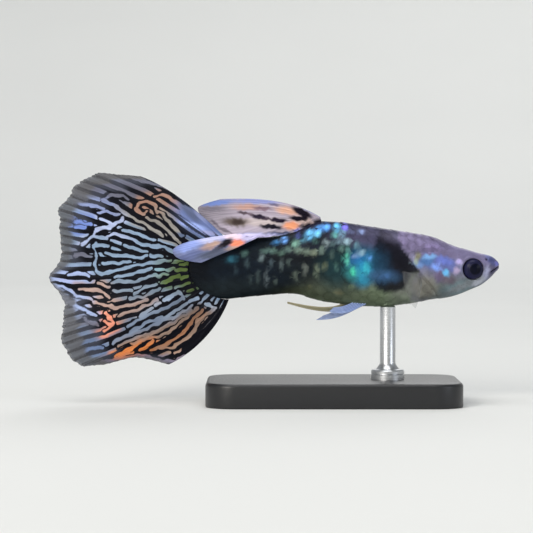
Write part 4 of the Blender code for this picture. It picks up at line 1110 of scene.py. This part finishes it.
def make_tail(material):
    layers, corner = lace_pattern()

    def thickness(s, t):
        ray = ray_ridges(s, t, TAIL_RAYS, TAIL_FORKS)
        return mix(0.34, 0.10, ease(t / 0.8)) * (0.6 + 0.4 * ray) + 0.5 * ease((0.02 - t) / 0.08)

    make_fin("tail_fan", "tail_fin", tail_frayed, 400, 112, -0.035, thickness,
             tail_look(layers, corner), material)


# The dorsal fin

DORSAL_GROUND = "#a99fae"
DORSAL_MARKS = (
    (212, 216, 20, 12, 0, "#918a94", 0.8, 0.6),
    (212, 208.8, 12, 3.0, 0, "#75707c", 0.85, 0.6),
    (247, 207.5, 14, 2.8, 0, "#bd968a", 0.95, 0.6),
    (287, 211, 11, 3.6, 12, "#d8a890", 0.95, 0.6),
    (303, 221, 12, 4, 10, "#c9b0a8", 0.8, 0.5),
    (262, 222.5, 26, 4, 0, "#bdb0ac", 0.7, 0.6),
    (262, 208.6, 9, 1.9, 4, "#7d6774", 0.95, 0.5),
    (273.5, 204.4, 5, 1.6, 8, "#66607c", 0.9, 0.5),
    (235.5, 222.4, 13, 4.4, 2, "#544942", 0.95, 0.55),
    (238, 222, 6.5, 3.0, 2, "#352a27", 0.95, 0.55),
    # The next two: painted shade, a dark line along the upper lobe's lower rear edge
    (215, 223.5, 6, 1.3, 45, "#655d68", 0.9, 0.5),
    (225, 231, 8, 1.4, 22, "#635a64", 0.9, 0.5),
    (242.5, 213, 5, 1.6, 12, "#4b3f48", 0.95, 0.5),
    (250.5, 215, 6, 1.3, 10, "#5c4d58", 0.9, 0.5),
    (259.8, 217.3, 8.4, 2.5, 8, "#1d1428", 1.0, 0.35),
    (268, 219.2, 5, 1.2, 8, "#3f3140", 0.9, 0.5),
    (278.3, 220.5, 8.4, 2.4, 4, "#1a1024", 1.0, 0.35),
    (270.4, 227.0, 11, 2.4, 2, "#0e0a1a", 1.0, 0.35),
    (291, 225.8, 8, 3.8, -6, "#ec9f78", 1.0, 0.5),
    (301.5, 212.4, 11, 3.4, 27, "#140f1c", 1.0, 0.35),
    (304, 216, 5, 3, 60, "#140f1c", 1.0, 0.4),
    (297.5, 218.7, 8.4, 2.3, 6, "#140f1c", 1.0, 0.35),
    (308.5, 226.2, 10, 2.8, -4, "#17131f", 1.0, 0.4),
    (318.5, 221.5, 5, 3, 0, "#17131f", 1.0, 0.4),
    (297.5, 231.3, 3.4, 3.0, 0, "#7d86d4", 0.9, 0.5),
    # Painted shade: a dark line where the upper lobe meets the folded flap
    (280.5, 233.6, 12, 1.9, -1, "#2a2740", 0.95, 0.45),
    (301, 205.6, 26, 2.4, 27, "#9298b8", 0.95, 0.5),
    (257, 201.2, 24, 2.6, 1, "#8a92c6", 1.0, 0.5),
    (214, 203, 20, 2.8, -4, "#7389c6", 1.0, 0.5),
)
FLAP_GROUND = "#7a82a8"
FLAP_MARKS = (
    # The pale band along the flap's fold is its own pale colour, brightened by a painted highlight
    (250, 237, 30, 3.6, 0, "#cbc4ea", 1.0, 0.5),
    (233, 236.6, 9, 2.8, 0, "#f0d6e6", 1.0, 0.5),
    (208, 239.6, 18, 3.4, -10, "#c2c4ea", 0.9, 0.5),
    (213, 244, 8, 2.6, -12, "#b99b8d", 0.95, 0.5),
    (208, 248, 8, 2.6, -12, "#a58c88", 0.9, 0.5),
    (237, 243.2, 7.4, 3.8, -10, "#ef8f70", 1.0, 0.5),
    (225.5, 244, 9, 3.2, -34, "#15121a", 1.0, 0.4),
    (216, 250, 8, 2.0, -30, "#3d3844", 0.9, 0.5),
    (232, 248.6, 8, 2.0, -14, "#b59a90", 0.95, 0.5),
    (240, 249.5, 9, 1.6, -14, "#3a3540", 0.9, 0.5),
    (188, 246, 13, 5, -15, "#8fa0de", 1.0, 0.5),
    (192, 256, 14, 5, -15, "#646d98", 1.0, 0.5),
    (214, 254, 17, 4.4, -12, "#50566a", 0.95, 0.5),
)


def dorsal_look(s, t, d, h):
    x, y = jittered(*in_photo(d, h), 0.7)
    upper = painted(x, y, DORSAL_GROUND, DORSAL_MARKS)
    flap = painted(x, y, FLAP_GROUND, FLAP_MARKS)
    over = (ease((s - 0.52) / 0.06) * ease((y - 231.5) / 3))[:, None]
    ray = ray_ridges(s, t, 9, (0.35, 0.7))
    solidity = 1 - 0.25 * ease((t - 0.9) / 0.1)
    colours = mix(upper, flap, over)
    return {"pale_colour": colours, "dark_colour": colours * 0.8, "lace": 1 + 0 * t, "solidity": solidity, "ray": ray}


def make_dorsal(material):
    def thickness(s, t):
        return mix(0.3, 0.1, ease(t / 0.7)) * (0.5 + 0.5 * ray_ridges(s, t, 9, (0.35, 0.7)))

    make_fin("dorsal_sail", "dorsal_fin", dorsal_place, 200, 90, -0.05, thickness,
             dorsal_look, material)


# The clear fins

def clear_look(pale, dark, rays, forks, root_solid, tip_solid, web):
    def look(s, t, d, h):
        ray = ray_ridges(s, t, rays, forks)
        colours = mix(linear(dark), linear(pale), ease(ray + 0.4 * np.abs(s - 0.5))[:, None])
        solidity = mix(root_solid, tip_solid, ease(t)) * mix(web, 1.0, ray)
        return {"pale_colour": colours, "dark_colour": colours, "lace": 1 + 0 * t, "solidity": solidity, "ray": ray}

    return look


def make_clear_fins(material):
    def thin(rays):
        def thickness(s, t):
            return mix(0.24, 0.07, ease(t)) * (0.45 + 0.55 * ray_ridges(s, t, rays, (0.5,)))

        return thickness

    for side, sign in (("left", 1), ("right", -1)):
        look = clear_look("#9a9b98", "#858480", 12, (0.5,), 0.42, 0.2, 0.6)
        make_fin("pectoral_" + side, "pectoral_fin_" + side, pectoral_place(sign), 120, 40,
                 -0.12, thin(12), look, material)
        look = clear_look("#b8caf0", "#8297cc", 6, (0.5,), 0.95, 0.8, 0.75)
        make_fin("pelvic_" + side, "pelvic_fin_" + side,
                 pelvic_place(sign, PELVIC_TIPS[side]), 60, 40, -0.08, thin(6), look, material)


def make_anal_fin(material):
    """The male's rod-like anal fin: three bundled rays that taper to a small hooked tip."""
    bpy.ops.mesh.primitive_cylinder_add(vertices=24, radius=1.0, depth=2.0, end_fill_type="TRIFAN")
    obj = bpy.context.object
    obj.name = obj.data.name = "anal_rod"
    bpy.ops.object.mode_set(mode="EDIT")
    bpy.ops.mesh.select_all(action="SELECT")
    bpy.ops.mesh.subdivide(number_cuts=20)
    bpy.ops.object.mode_set(mode="OBJECT")
    tube = get_points(obj.data)
    share = (tube[:, 2] + 1) / 2
    turn = np.arctan2(tube[:, 1], tube[:, 0])
    spread = np.hypot(tube[:, 0], tube[:, 1])
    lengths = [(k / (len(ANAL_RADII) - 1), radius) for k, radius in enumerate(ANAL_RADII)]
    radius = table_curve(lengths, share) * (1 + 0.12 * np.cos(3 * turn)) * spread * 0.85
    bend = [(1 - share) ** 3, 3 * share * (1 - share) ** 2, 3 * share * share * (1 - share), share ** 3]
    d, h = (sum(weight * point[k] for weight, point in zip(bend, ANAL_PATH)) for k in (0, 1))
    set_points(obj.data, world(d, radius * np.cos(turn), h + radius * np.sin(turn)))
    ray = 0.5 + 0.5 * np.cos(3 * turn)
    colours = mix(linear("#5f604c"), linear("#a29b80"), (0.5 * ray + 0.5 * ease(share))[:, None])
    for key in ("pale_colour", "dark_colour"):
        put_colours(obj.data, key, colours)
    for key, values in (("lace", 1 + 0 * share), ("solidity", 0.95 + 0 * share), ("ray", ray)):
        put_numbers(obj.data, key, values)
    outwards(obj)
    finished(obj, material, ("anal_fin",))


# The eyes

PUPIL_FORWARD = 0.2  # how far the pupil lies ahead of the eye's middle, in the eye's radii


def make_eyes(material):
    for side, sign in (("left", 1), ("right", -1)):
        bpy.ops.mesh.primitive_uv_sphere_add(segments=96, ring_count=64, radius=1.0)
        obj = bpy.context.object
        obj.name = obj.data.name = "eyeball_" + side
        ball = get_points(obj.data)
        flat = np.hypot(ball[:, 0], ball[:, 1])
        outer = ball[:, 2] > 0
        dome = 0.05 * ease((0.52 - flat) / 0.12) * outer
        depth = EYE_DEPTH * (ball[:, 2] + dome)
        d = EYE_PLACE + 1.07 * ball[:, 0]
        h = EYE_LEVEL + 1.07 * ball[:, 1]
        set_points(obj.data, world(d, sign * (EYE_SIDE + depth * 0.94), h))
        from_pupil = np.hypot(ball[:, 0] + PUPIL_FORWARD, ball[:, 1])
        pupil = ease((0.54 - from_pupil) / 0.05) * outer
        iris = mix(linear("#12132a"), linear("#222340"), ease((from_pupil - 0.5) / 0.4)[:, None])
        iris = mix(iris, linear("#34364f"), (0.35 * np.exp(-(((from_pupil - 0.60) / 0.03) ** 2)))[:, None])
        iris = mix(iris, linear("#14131f"), ease((flat - 0.9) / 0.1)[:, None])
        put_colours(obj.data, "skin_colour", mix(iris, linear("#040718"), pupil[:, None]))
        outwards(obj)
        finished(obj, material, ("eye_" + side,))


# The stand

def turned(name, x, rings):
    """A round piece as on a lathe: a disc whose edge is drawn out to each ring, radius and height, in turn."""
    bpy.ops.object.select_all(action="DESELECT")
    bpy.ops.mesh.primitive_circle_add(
        vertices=96, radius=rings[0][0], fill_type="NGON", location=(x, 0.0, rings[0][1])
    )
    obj = bpy.context.object
    obj.name = obj.data.name = name
    bpy.ops.object.transform_apply(location=True, rotation=True, scale=True)
    bpy.ops.object.mode_set(mode="EDIT")
    bpy.ops.mesh.select_mode(type="EDGE")
    bpy.ops.mesh.select_all(action="SELECT")
    for (radius, height), (new_radius, new_height) in zip(rings, rings[1:]):
        bpy.ops.mesh.extrude_edges_move(TRANSFORM_OT_translate={"value": (0.0, 0.0, new_height - height)})
        share = new_radius / radius
        bpy.ops.transform.resize(value=(share, share, 1.0), center_override=(x, 0.0, new_height))
    return obj


def make_rod(material):
    """A turned rod up to the belly, with a foot, a groove and softened edges."""
    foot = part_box("stand_rod")[0].z / MM
    top = AXIS_HEIGHT + float(section(ROD_PLACE)[1]) + 0.12
    rings = [
        (0.65, top), (0.8, top - 0.15), (0.8, foot + 1.35), (0.86, foot + 1.2), (1.1, foot + 0.86),
        (1.22, foot + 0.74), (1.56, foot + 0.7), (1.7, foot + 0.56), (1.7, foot + 0.3), (1.63, foot + 0.24),
        (1.7, foot + 0.18), (1.7, foot - FIN_GAP),
    ]
    obj = turned("rod", (SNOUT_X - ROD_PLACE) * MM, [(radius * MM, height * MM) for radius, height in rings])
    bpy.ops.mesh.edge_face_add()
    bpy.ops.object.mode_set(mode="OBJECT")
    outwards(obj)
    finished(obj, material, ("stand_rod",), smooth=35)


def bevel_edges(obj, wanted, width, segments):
    """Rounds the edges that are wanted."""
    mesh = obj.data
    for part in (mesh.vertices, mesh.edges, mesh.polygons):
        part.foreach_set("select", [False] * len(part))
    for edge in mesh.edges:
        edge.select = wanted(*(mesh.vertices[k].co for k in edge.vertices))
    bpy.ops.object.mode_set(mode="EDIT")
    bpy.ops.mesh.select_mode(type="EDGE")
    bpy.ops.mesh.bevel(offset=width * MM, segments=segments, profile=0.5, affect="EDGES")
    bpy.ops.object.mode_set(mode="OBJECT")


def make_base(material):
    """A flat slab with round corners, a bevelled top edge and a fine bevel round its foot."""
    low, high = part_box("stand_base")
    bpy.ops.object.select_all(action="DESELECT")
    bpy.ops.mesh.primitive_cube_add(size=1.0, location=(low + high) / 2, scale=high - low)
    obj = bpy.context.object
    obj.name = obj.data.name = "base"
    bpy.ops.object.transform_apply(location=True, rotation=True, scale=True)
    bevel_edges(obj, lambda a, b: abs(a.z - b.z) > 1.0 * MM, 3.0, 16)
    for level, width in ((high.z, 0.4), (low.z, 0.15)):
        bevel_edges(obj, lambda a, b: max(abs(a.z - level), abs(b.z - level)) < 0.01 * MM, width, 4)
    outwards(obj)
    finished(obj, material, ("stand_base",), smooth=35)


# The studio

FLOOR_FLAT, FLOOR_CURVE, FLOOR_TURN = 0.40, 0.60, 70  # metres, metres and degrees


def make_floor(material):
    """A wide floor that curves up into a wall all round."""
    rings = [(FLOOR_FLAT, 0.0)]
    for k in range(1, 15):
        turn = math.radians(FLOOR_TURN) * k / 14
        rings.append((FLOOR_FLAT + FLOOR_CURVE * math.sin(turn), FLOOR_CURVE * (1 - math.cos(turn))))
    obj = turned("floor", 0.0, rings)
    bpy.ops.object.mode_set(mode="OBJECT")
    obj.data.materials.append(material)
    bpy.ops.object.shade_smooth()


def area_light(name, place, target, size, power, colour):
    data = bpy.data.lights.new(name, "AREA")
    data.shape = "DISK"
    data.size = size
    data.energy = power
    data.color = linear(colour)
    obj = bpy.data.objects.new(name, data)
    bpy.context.scene.collection.objects.link(obj)
    obj.location = place
    obj.rotation_euler = (Vector(target) - Vector(place)).to_track_quat("-Z", "Y").to_euler()


def make_light():
    fish = (-0.006, 0.0, 0.014)
    area_light("top_softbox", (-0.05, -0.10, 0.62), fish, 0.46, 1.75, "#ffffff")
    area_light("front_softbox", (-0.40, -0.61, 0.36), fish, 0.43, 4.0, "#fffaf2")
    area_light("side_softbox", (0.54, -0.36, 0.22), fish, 0.32, 0.7, "#eef4ff")
    area_light("back_softbox", (0.09, 0.63, 0.45), fish, 0.47, 1.3, "#ffffff")
    sky = bpy.data.worlds.new("studio")
    sky.use_nodes = True
    ground = sky.node_tree.nodes["Background"]
    ground.inputs["Color"].default_value = rgba("#e8ebee")
    ground.inputs["Strength"].default_value = 0.42
    bpy.context.scene.world = sky
    bpy.context.scene.view_settings.view_transform = "Standard"


def make_camera():
    """A long lens level with the fish, a little above it, so that the picture's frame is the photograph's."""
    distance, elevation = 250.0, math.radians(1.5)
    middle = (SNOUT_X - (SNOUT[0] - PICTURE / 2) * PIXEL, 0.0, AXIS_HEIGHT + (SNOUT[1] - PICTURE / 2) * PIXEL)
    data = bpy.data.cameras.new("camera")
    data.sensor_width = 36.0
    data.lens = data.sensor_width * distance / (PICTURE * PIXEL)
    data.clip_start, data.clip_end = 0.005, 10.0
    obj = bpy.data.objects.new("camera", data)
    bpy.context.scene.collection.objects.link(obj)
    away = Vector((0.0, -math.cos(elevation), math.sin(elevation))) * distance
    obj.location = (Vector(middle) + away) * MM
    obj.rotation_euler = (math.pi / 2 - elevation, 0.0, 0.0)
    bpy.context.scene.camera = obj


make_camera()
skin_finish = lacquered_skin("guppy_skin", 0.42, 0.05)
scale_finish = lacquered_skin("guppy_scales", 0.38, 0.05)
make_skin(skin_finish)
make_scales(scale_finish)
make_eyes(eye_glass())
make_tail(fin_membrane("tail_membrane", 0.5))
make_dorsal(fin_membrane("dorsal_membrane", 0.42))
clear_finish = fin_membrane("clear_membrane", 0.3)
make_clear_fins(clear_finish)
make_anal_fin(clear_finish)
make_rod(turned_steel())
make_base(satin_acrylic())
make_floor(floor_paint())
make_light()
